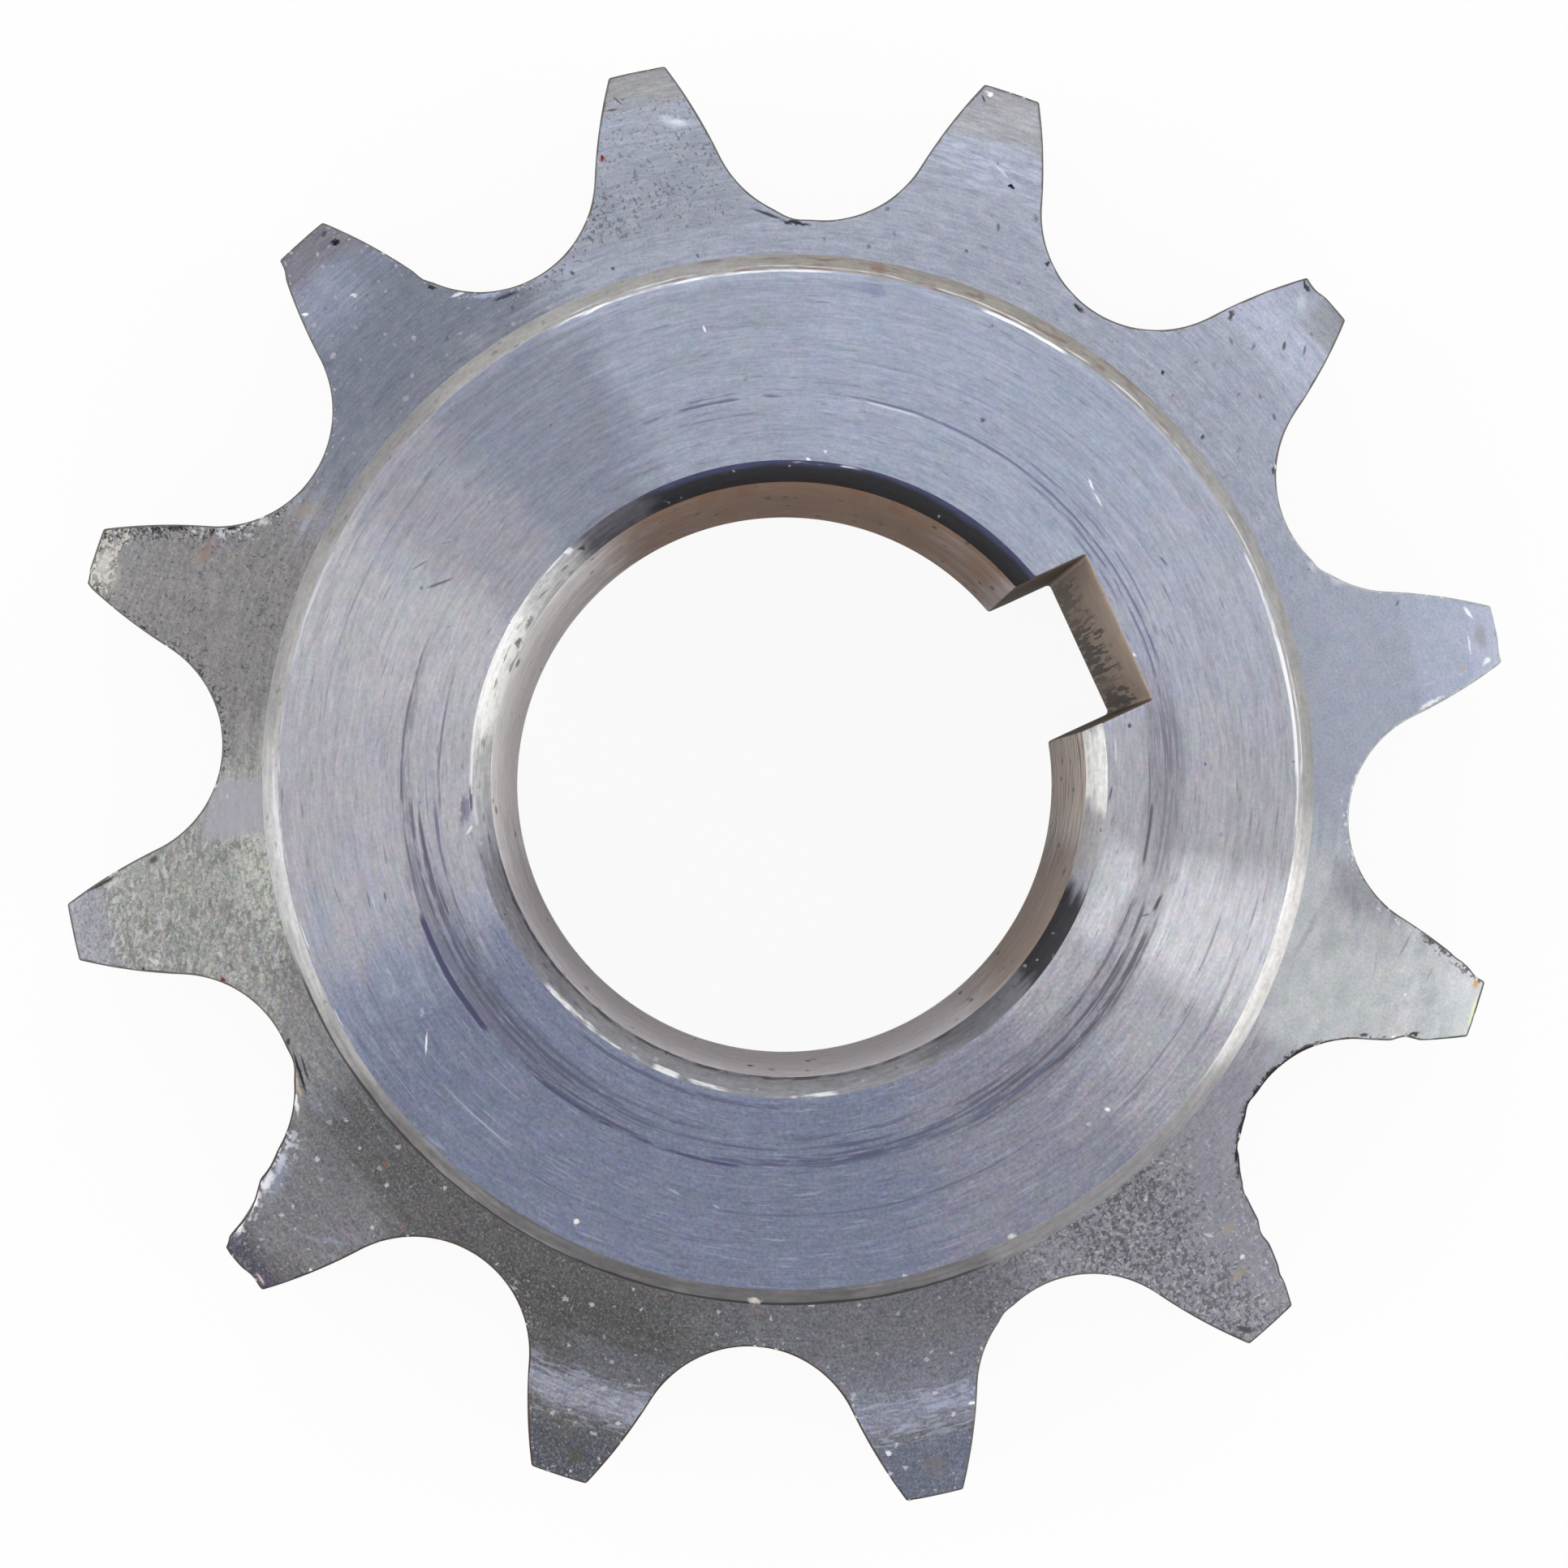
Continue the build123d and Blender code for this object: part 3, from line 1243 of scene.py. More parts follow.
FACE_TOOL_MARKS = rows(
    ToolMarkAndEdgeShading,
    (19.3, 226, 292, 0.46, 0x706E7E, 0.5, 0.4, 16), (19.48, 226, 262, 0.14, 0x625E6C, 0.65, 0.4),
    (19.05, 246, 300, 0.18, 0x5A5866, 0.7, 0.4), (19.74, 266, 285, 0.3, 0x4C4A66, 0.95, 0.25, 2),
    (18.7, 250, 303, 0.18, 0x5A5A6C, 0.8), (18.4, 262, 308, 0.16, 0x5A5C70, 0.8),
    (18.05, 268, 310, 0.14, 0x626478, 0.75), (17.85, 250, 268, 0.16, 0x686C86, 0.8),
    (17.58, 228, 250, 0.14, 0x6A6A78, 0.7), (19.62, 293, 308, 0.18, 0x4A4C68, 0.85, 0.4, 2),
    (19.6, 312, 328, 0.18, 0x4A4C68, 0.85, 0.4, 2), (19.3, 330, 352, 0.3, 0x54546C, 0.75),
    (19, 334, 372, 0.16, 0x545872, 0.8), (18.65, 318, 352, 0.16, 0x5C6076, 0.7),
    (19.45, 342, 380, 0.3, 0x5C6078, 0.75, 0.4, 8), (19.62, 377, 402, 0.26, 0x58545C, 0.8, 0.36, 3),
    (19.85, 388, 404, 0.14, 0x68646C, 0.7), (18.98, 370, 406, 0.18, 0x5E5A64, 0.75, 0.38),
    (18.84, 392, 402, 0.14, 0xC8C8CE, 0.6), (18.4, 384, 406, 0.18, 0x605C68, 0.7, 0.38, 2),
    (18.35, 412, 421, 0.18, 0x5C5862, 0.85, 0.2, 2), (19.6, 412, 452, 0.2, 0x7A7682, 0.55, 0.5),
    (19.3, 410, 440, 0.16, 0x7A7682, 0.6), (19.02, 410, 436, 0.16, 0x787480, 0.6),
    (19.2, 74, 116, 0.14, 0x6A6E8A, 0.75), (19.52, 84, 146, 0.14, 0x686C88, 0.8, 0.35),
    (20.02, 90, 119, 0.13, 0x70748E, 0.7), (18.85, 94, 106, 0.14, 0x6E728A, 0.7),
    (19.3, 156, 178, 0.16, 0x5C5E74, 0.8, 0.45), (19.6, 158, 174, 0.12, 0x686A7E, 0.7, 0.5),
    (18.5, 160, 172, 0.12, 0x707286, 0.6), (19.38, 136, 146, 0.14, PALE, 0.75),
    (16.5, 296, 334, 0.2, 0x585A70, 0.7), (22.8, 39.5, 47.5, 0.13, 0x707080, 0.5, 0.36, 2),
    (23.3, 20, 36, 0.12, 0x70707E, 0.6), (21.35, 96, 152, 0.12, 0x868AA0, 0.55),
    (23.6, 186, 236, 0.12, 0x747686, 0.5), (24.4, 4, 52, 0.12, 0x7A7A88, 0.4),
    (23.65, 300, 326, 0.12, 0x62627C, 0.6), (23.15, 287, 297.5, 0.12, 0xB4BAC8, 0.5, 0.4, 2),
    (21.95, 326, 368, 0.12, 0x5C6074, 0.6),
)

# Burrs round the outer edge of the hub's face, their glint painted in where light falls; the dark lines
# towards 36° and 286° to 345° are painted shade.
FACE_EDGE_BURRS_AND_GLINTS = rows(
    ToolMarkAndEdgeShading,
    (25.62, 58, 92, 0.14, BURR_GLINT, 0.8, 0.46), (25.6, 66, 81, 0.18, WHITE, 0.9, 0.34),
    (25.6, 122.5, 132.5, 0.18, WHITE, 0.9, 0.34, 1.5), (25.62, 151, 182, 0.15, BURR_GLINT, 0.8, 0.44),
    (25.62, 219, 240, 0.14, PALE, 0.7, 0.5), (25.62, 243, 276, 0.12, BURR_GLINT, 0.7, 0.56),
    (25.76, 36, 56, 0.14, 0x706C70, 0.6, 0.45), (25.8, 286, 345, 0.14, 0x4A4A58, 0.6, 0.45),
)

FACE_MARKS = rows(
    Mark,
    (-5.49, -15.35, 1.9, 0.5, -19, 0x7E7C94, 0.85), (-22.35, 5.63, 0.5, 0.16, 3, BURR_GLINT, 0.9),
    (-25.57, 1.03, 1.9, 0.2, -86, BURR_GLINT, 0.8), (-14.17, 7.64, 0.4, 0.26, 23, WHITE, 1),
    (-14.21, 8.59, 0.25, 0.2, 33, BURR_GLINT, 0.7), (-20.58, 14.24, 2.2, 0.95, 47, 0x707494, 0.5, 0.9),
    (-12.31, 16.52, 0.32, 0.34, -6, 0x58586E, 0.9), (-7.1, 20.05, 0.8, 0.17, -1, WHITE, 0.9),
    (-6.26, 20.04, 1, 0.13, 4, BURR_GLINT, 0.8), (-2.07, 21.75, 0.9, 0.14, 15, 0x5C5C72, 0.8),
    (-16.29, -11.82, 2, 0.2, 86, 0x625E6A, 0.8), (-17.54, -12.34, 1.2, 0.15, -82, 0x6A6674, 0.65),
    (-17.99, -10.64, 0.7, 0.14, 78, 0x6E6C78, 0.5), (-5.41, -15.56, 2, 0.34, -25, 0x747080, 0.75),
    (-5.11, -15.1, 1.2, 0.2, -22, WHITE, 0.85), (-4.39, -15.64, 0.8, 0.2, -60, BURR_GLINT, 0.6),
    (-3.12, -20.89, 0.7, 0.18, -13, 0x5C5A6A, 0.75), (-3.3, -21.72, 1.2, 0.14, -11, 0x646270, 0.6),
    (-3.16, -21.55, 1, 0.1, -10, PALE, 0.6), (-0.94, -19.69, 1.9, 0.18, -5, 0x545268, 0.8),
    (4.46, -22.1, 1.4, 0.15, -27, BURR_GLINT, 0.85), (2.97, -21.65, 0.7, 0.3, -18, 0xC4C8D6, 0.5, 0.9),
    (15.74, -19.03, 0.4, 0.34, 9, 0xECECE2, 0.9), (25.2, -5.15, 0.6, 0.3, 15, 0xCECCC8, 0.85),
    (23.14, -11.51, 0.7, 0.2, 54, 0xD6D6D6, 0.8), (16.43, -13.9, 0.9, 0.16, 39, 0xB0B4C8, 0.6),
    (17.99, -12.31, 0.5, 0.16, 32, 0xB0B4C8, 0.6), (21.81, 7.62, 0.4, 0.24, 53, BURR_GLINT, 0.9),
    (22.08, 6.44, 0.4, 0.3, 71, 0xBEC0CC, 0.6, 0.8), (25.69, 0.61, 0.7, 0.36, 40, 0xD6D4D0, 0.85),
    (18.07, 18.38, 0.33, 0.3, -84, WHITE, 1), (13.43, 14.26, 1.3, 0.26, -53, 0x545054, 0.9),
    (13.72, 13.43, 0.7, 0.18, 78, 0x68646C, 0.7), (4.72, 16.75, 0.32, 0.34, -59, 0x484852, 0.9),
    (5.57, 15.56, 1.7, 0.15, -23, 0xCED0DA, 0.7), (7.46, 14.4, 1, 0.16, -37, 0x565670, 0.8),
    (8.09, 19.38, 0.23, 0.22, -51, 0x64647A, 0.8), (12.07, 20.5, 1.4, 0.16, -40, 0x82808A, 0.6),
    (8.18, 23.51, 1.3, 0.5, -49, 0x8A8CA0, 0.5, 0.9), (11.65, 18.6, 0.31, 0.16, -53, 0x787682, 0.6),
    (1.61, 18.35, 0.27, 0.3, -43, WHITE, 0.9),
)

HUB_FACE = Finish(
    name="turned_hub_face", tint=0x9AA1B3, roughness=0.4, drawn=0.4,
    layers=(
        # Painted sheen and shade: the turned face lighter towards 48°, 82° and 243° and darker towards 322°,
        # 12° and 193°; the last two are darker bands over the tool marks.
        *rows(
            PaintedLightAndTone,
            (0xA3A6B5, Where(82, 8, 28)), (0x767C91, Where(322, 40, 68)), (0x969CAC, Where(168, 4, 18)),
            (0x868795, Where(12, 6, 24)), (0x838796, Where(193, 5, 20)), (0xA6A5AD, Where(243, 9, 33)),
            (0x96969F, Where(209, 2, 12)), (0xACACB2, Where(225, 2, 14)), (0xA4A4AB, Where(48, 16, 34)),
            (0xC8C8CF, Where(45, 2, 11, inner=16.6, feather=2.0, ragged=0.5)),
            (0x7C7A84, Where(42, 28, 46, inner=18.1, outer=19.9, feather=0.7), 0.5),
            (0x686878, Where(283, 12, 30, inner=18.0, outer=19.5, feather=0.5), 0.45),
        ),
        Mottle(1.6, 0.05, hue=0.08, detail=2.0, seed=5),
        TurningLines(0.12, 0.8, 20, contrast=0.22, seed=3),
        TurningLines(0.24, 3.0, 20, contrast=0.19, depth=0.0, seed=6),
        TurningLines(0.7, 22, 20, contrast=0.08, depth=0.0, seed=9),
        Mottle(0.17, 0.17, hue=0.16, detail=2.0, seed=2),
        Mottle(0.2, 0.3, 0.25, 2.0, Where(332, 56, 76), seed=48),
        Streaks(0x626072, 0.4, ANYWHERE, 0.15, 1.3, sparse=1.0, seed=24),
        Streaks(0xB6BCCE, 0.24, Where(350, 80, 110), 0.14, 1.5, sparse=0.9, seed=85),
        Streaks(
            0x545262, 0.7, Where(282, 20, 44, inner=17.8, outer=19.7, feather=0.5), 0.2, 8, sparse=0.65,
            seed=81,
        ),
        Streaks(
            0x505066, 0.6, Where(334, 36, 56, inner=18.0, outer=19.7, feather=0.5), 0.2, 4, sparse=0.65,
            seed=82,
        ),
        Streaks(
            0x5C5864, 0.65, Where(36, 30, 44, inner=18.0, outer=19.9, feather=0.4), 0.22, 9, sparse=0.6,
            seed=83,
        ),
        Streaks(0x686A82, 0.5, Where(112, 34, 56, inner=18.7, outer=20.2), 0.2, 9, sparse=0.75, seed=84),
        Specks(2.4, 0.12, 0.2, DARK_PIT, 0.6, seed=33),
        *FACE_TOOL_MARKS,
        *FACE_EDGE_BURRS_AND_GLINTS,
        *FACE_MARKS,
    ),
)

PLATE_MARKS = rows(
    Mark,
    (22.25, 28.11, 1.4, 0.6, 25, 0x4A464C, 0.8, 0.8), (24.76, 29.61, 1.2, 0.34, 22, BLACK, 0.9),
    (23.8, 29.18, 0.8, 0.3, 30, WHITE, 0.95), (22.95, 28.64, 0.5, 0.26, 34, WHITE, 0.9),
    (25.58, 29.47, 0.7, 0.4, -19, 0xCCA060, 0.85), (26.81, 28.75, 2.4, 0.2, -42, 0xDEDCA0, 0.7),
    (26.61, 25.21, 0.9, 0.3, 76, 0x2C2A2E, 0.9), (26.26, 24.11, 0.4, 0.24, 74, WHITE, 0.8),
    (25.5, 22.72, 0.6, 0.26, 67, 0x3C3A40, 0.85), (19.11, 22.38, 4.6, 0.5, -54, 0x929098, 0.5, 0.9),
    (23.97, 27.39, 1.1, 0.18, -52, 0x96989C, 0.6), (22.01, 26.81, 1.9, 0.2, -53, 0x8A888E, 0.6),
    (22.17, 24.96, 2.3, 0.16, -31, 0x9EA0A4, 0.5), (24.45, 25.67, 0.29, 0.2, -66, WHITE, 0.7),
    (34.44, 11.13, 1.8, 0.7, -82, 0x9E968A, 0.75, 0.7), (31.9, 11.74, 1.3, 0.7, -79, 0x9C958A, 0.75, 0.7),
    (37.32, 10.22, 1.4, 0.5, 54, 0x463E3E, 0.8), (24.88, 18.89, 1.5, 0.22, -74, BLACK, 0.85),
    (25.28, 17.32, 1.3, 0.36, -70, BLACK, 0.95), (26.06, 15.78, 1.6, 0.3, -61, BLACK, 0.9),
    (27.2, 14.64, 1.2, 0.3, -39, BLACK, 0.9), (28.48, 13.73, 1.3, 0.24, -30, BLACK, 0.85),
    (33.63, 11.68, 0.4, 0.3, 76, WHITE, 0.7), (31.8, 10.52, 0.8, 0.22, 49, PALE, 0.7),
    (8.58, 37.62, 1.9, 0.9, -13, 0x909096, 0.7, 0.7), (7.09, 37.51, 1, 0.26, 13, BURR_GLINT, 0.8),
    (8.71, 36.83, 1.3, 0.16, -18, BURR_GLINT, 0.6), (9.94, 37.35, 0.7, 0.4, -66, BURR_GLINT, 0.7),
    (9.75, 35.9, 0.6, 0.26, -61, 0xB09E8E, 0.7), (10.71, 33.58, 2, 0.45, -84, WHITE, 0.8, 0.8),
    (10.93, 32.3, 0.5, 0.2, -78, 0x3C3C42, 0.8), (2.53, 31.7, 1.1, 0.6, 31, PALE, 0.6, 0.8),
    (1.27, 30.8, 0.9, 0.5, 15, PALE, 0.55, 0.8), (5.02, 34.18, 0.5, 0.2, -53, 0x5A5A62, 0.7),
    (-12.96, 32.57, 0.8, 0.35, -49, 0x46382C, 0.85), (-12.7, 36.98, 0.9, 0.3, 4, 0x2A2626, 0.9),
    (-12.03, 36.36, 1.4, 0.7, -22, 0xC8CCD8, 0.55, 0.9), (-10.21, 34.47, 0.7, 0.26, -37, 0x4A4A4E, 0.85),
    (-9.55, 35.38, 0.7, 0.2, -37, 0x5C5C5E, 0.8), (-10.9, 32.94, 0.5, 0.28, -40, 0x60626A, 0.7),
    (-11.66, 31.94, 0.6, 0.22, 0, 0x6C707C, 0.7), (-6.93, 32.34, 0.5, 0.22, -6, 0x5C5C62, 0.75),
    (-8.25, 32.13, 0.4, 0.2, -9, 0x606268, 0.7), (-10.83, 30.59, 0.8, 0.5, -22, 0x808494, 0.5, 0.9),
    (-11.64, 27.84, 0.4, 0.3, 14, 0x2C2A2E, 0.95), (-7.57, 28.36, 0.4, 0.26, -48, 0x3C3A40, 0.85),
    (-4.31, 31.08, 0.6, 0.22, -22, 0x343236, 0.85), (-3.63, 30.91, 0.33, 0.3, -18, WHITE, 1),
    (-24.27, 24.66, 0.35, 0.3, 26, BLACK, 1, 0.4, 0.05), (-29.36, 25.75, 0.5, 0.42, 23, WHITE, 1, 0.6, -0.03),
    (-29.27, 25.31, 0.6, 0.16, -1, BLACK, 0.8), (-22.1, 25.11, 0.7, 0.45, -9, 0x586260, 0.65, 0.9),
    (-22.54, 23.06, 0.6, 0.26, -27, 0x5C606A, 0.75), (-19.61, 24.65, 0.4, 0.32, 7, BLACK, 0.9, 0.6, 0.05),
    (-16.73, 25.17, 1, 0.34, 17, 0x342C26, 0.9, 0.6, 0.04), (-22.09, 20.96, 0.26, 0.2, 21, 0x68544C, 0.8),
    (-25.18, 24.52, 1.3, 0.2, 20, 0xCED2E2, 0.6), (-35.09, 9.52, 2.7, 0.95, 54, 0xC6CBDB, 0.6, 0.9),
    (-34.99, 9.64, 1.2, 0.5, 53, 0xD6DAE8, 0.5, 0.9), (-34.83, 5.11, 0.4, 0.4, 23, RUST, 1),
    (-37.1, 6.71, 0.8, 0.14, 72, 0x48464A, 0.9), (-37.47, 7.18, 0.9, 0.14, 23, 0x504E52, 0.8),
    (-28.22, 12.75, 3.2, 0.36, 52, 0xA4ACCC, 0.9), (-28.41, 11.99, 2.2, 0.24, 46, 0x3C4044, 0.9),
    (-27.31, 13.2, 2.1, 0.3, 58, 0x2E3038, 0.95), (-29.93, 1.04, 0.4, 0.26, 33, 0x464A54, 0.8),
    (-29.23, 3.15, 0.28, 0.26, 31, 0x40424C, 0.8), (-27.93, 7.61, 0.4, 0.24, 12, 0x5A5E6A, 0.7),
    (-36.86, -9.95, 0.6, 0.42, 64, BLACK, 1, 0.5, 0.06), (-37.51, -10.3, 0.4, 0.3, 75, 0x464242, 0.8),
    (-33.92, -13.06, 0.5, 0.34, 68, WHITE, 0.95, 0.6, -0.03), (-33.74, -10.19, 0.5, 0.3, 68, 0xD0D4E2, 0.85),
    (-32.37, -6.15, 0.7, 0.34, 50, 0x28262A, 0.9), (-31.45, -5.04, 1.1, 0.24, 88, BURR_GLINT, 0.75),
    (-30.79, -3.63, 2.4, 0.34, 77, 0x9EAAC8, 0.8), (-30.29, -2.76, 1.9, 0.26, 87, 0x383842, 0.85),
    (-26.25, -28.61, 2.8, 1.2, -49, 0xCAC8C2, 0.6, 0.9), (-25.31, -28.26, 2.4, 0.8, -44, 0xACA8A0, 0.5, 0.9),
    (-24.42, -23.35, 2.4, 1, -68, 0x967668, 0.45, 0.9), (-24.27, -17.35, 2.9, 1.1, 85, 0xA09688, 0.5, 0.9),
    (-24.81, -16.68, 1, 0.8, 85, 0x969CB0, 0.4, 0.9), (-25.15, -21.44, 0.7, 0.5, 79, BLACK, 0.95, 0.6, 0.06),
    (-24.64, -19.78, 0.9, 0.36, 78, PALE, 0.7), (-25.38, -22.02, 0.6, 0.5, 87, PALE, 0.6, 0.8),
    (-26.33, -24.18, 1.3, 0.5, 64, 0x282626, 0.8), (-22.19, -28.15, 0.6, 0.36, 72, BLACK, 0.85),
    (-5.33, -35.91, 0.7, 0.36, -71, BLACK, 0.95, 0.6, 0.04), (-5.49, -35.02, 0.9, 0.3, 30, 0xD6D6D4, 0.7),
    (-10.53, -36.04, 2.7, 0.26, -87, 0x302E2E, 0.85), (-10.3, -35.33, 1.4, 0.4, 89, 0xCECECC, 0.6),
    (-10.53, -32.8, 0.8, 0.45, -64, 0x403C40, 0.8, 0.8), (-3.01, -32.11, 0.5, 0.4, -52, 0x7E2C32, 1),
    (-10.59, -28.23, 2.9, 2.2, 88, 0xA8A8B4, 0.55, 0.7), (-11.66, -27.63, 1.7, 0.9, -53, 0xA6A8B6, 0.5, 0.8),
    (-0.84, -30.14, 0.8, 0.6, -45, 0xA2A4BA, 0.6, 0.8),
    (9.39, -36.82, 1.3, 0.42, -42, WHITE, 0.95, 0.6, -0.02),
    (8.56, -35.63, 1.4, 0.6, -46, WHITE, 0.95, 0.6, -0.02), (7.9, -34.45, 1.6, 0.6, -47, BURR_GLINT, 0.9),
    (7.26, -33.37, 2, 0.55, -44, 0xC6CEDA, 0.75, 0.8), (6.25, -32.15, 0.9, 0.36, -46, 0xB8BEC8, 0.8),
    (8.04, -33.95, 4.2, 1.3, -49, 0x969AB0, 0.5, 0.9), (4.16, -31.2, 2.9, 0.36, -14, BURR_GLINT, 0.95),
    (3.41, -30.76, 2.9, 0.3, -10, 0xC6B69A, 0.8), (3.21, -30.42, 3.1, 0.24, -7, 0x302E2C, 0.95),
    (3.14, -30.08, 1.9, 0.18, -8, 0x42423E, 0.9), (1.48, -30.29, 0.6, 0.4, -22, 0x46383E, 0.8),
    (13.31, -34.41, 0.7, 0.4, -20, BURR_GLINT, 0.9), (12.48, -37.08, 0.9, 0.26, 8, 0xD8C0C0, 0.7),
    (12.2, -32.66, 2.3, 0.34, 48, 0x9C9CB2, 0.6, 0.9), (11.69, -33.51, 2, 0.26, 45, 0x9696AA, 0.5, 0.9),
    (11.62, -32.47, 1.8, 0.2, 34, 0x9696A8, 0.5, 0.9), (28.33, -25.55, 1.6, 1.5, 32, 0x54544A, 0.6, 0.8),
    (34.69, -4.84, 0.7, 0.26, 78, WHITE, 1, 0.6, -0.02), (34.06, -6.5, 2.7, 0.5, 77, 0xB0B6CC, 0.6, 0.8),
    (33.72, -5.04, 1.1, 0.7, 46, 0xAAAEC2, 0.5, 0.9), (34.33, -8.99, 2.4, 0.4, -83, 0xACB0C6, 0.55, 0.9),
    (35.23, -10.1, 0.5, 0.32, 36, BURR_GLINT, 0.85), (36.89, -8.18, 2, 1.7, 78, 0x7E7468, 0.38, 0.8),
)

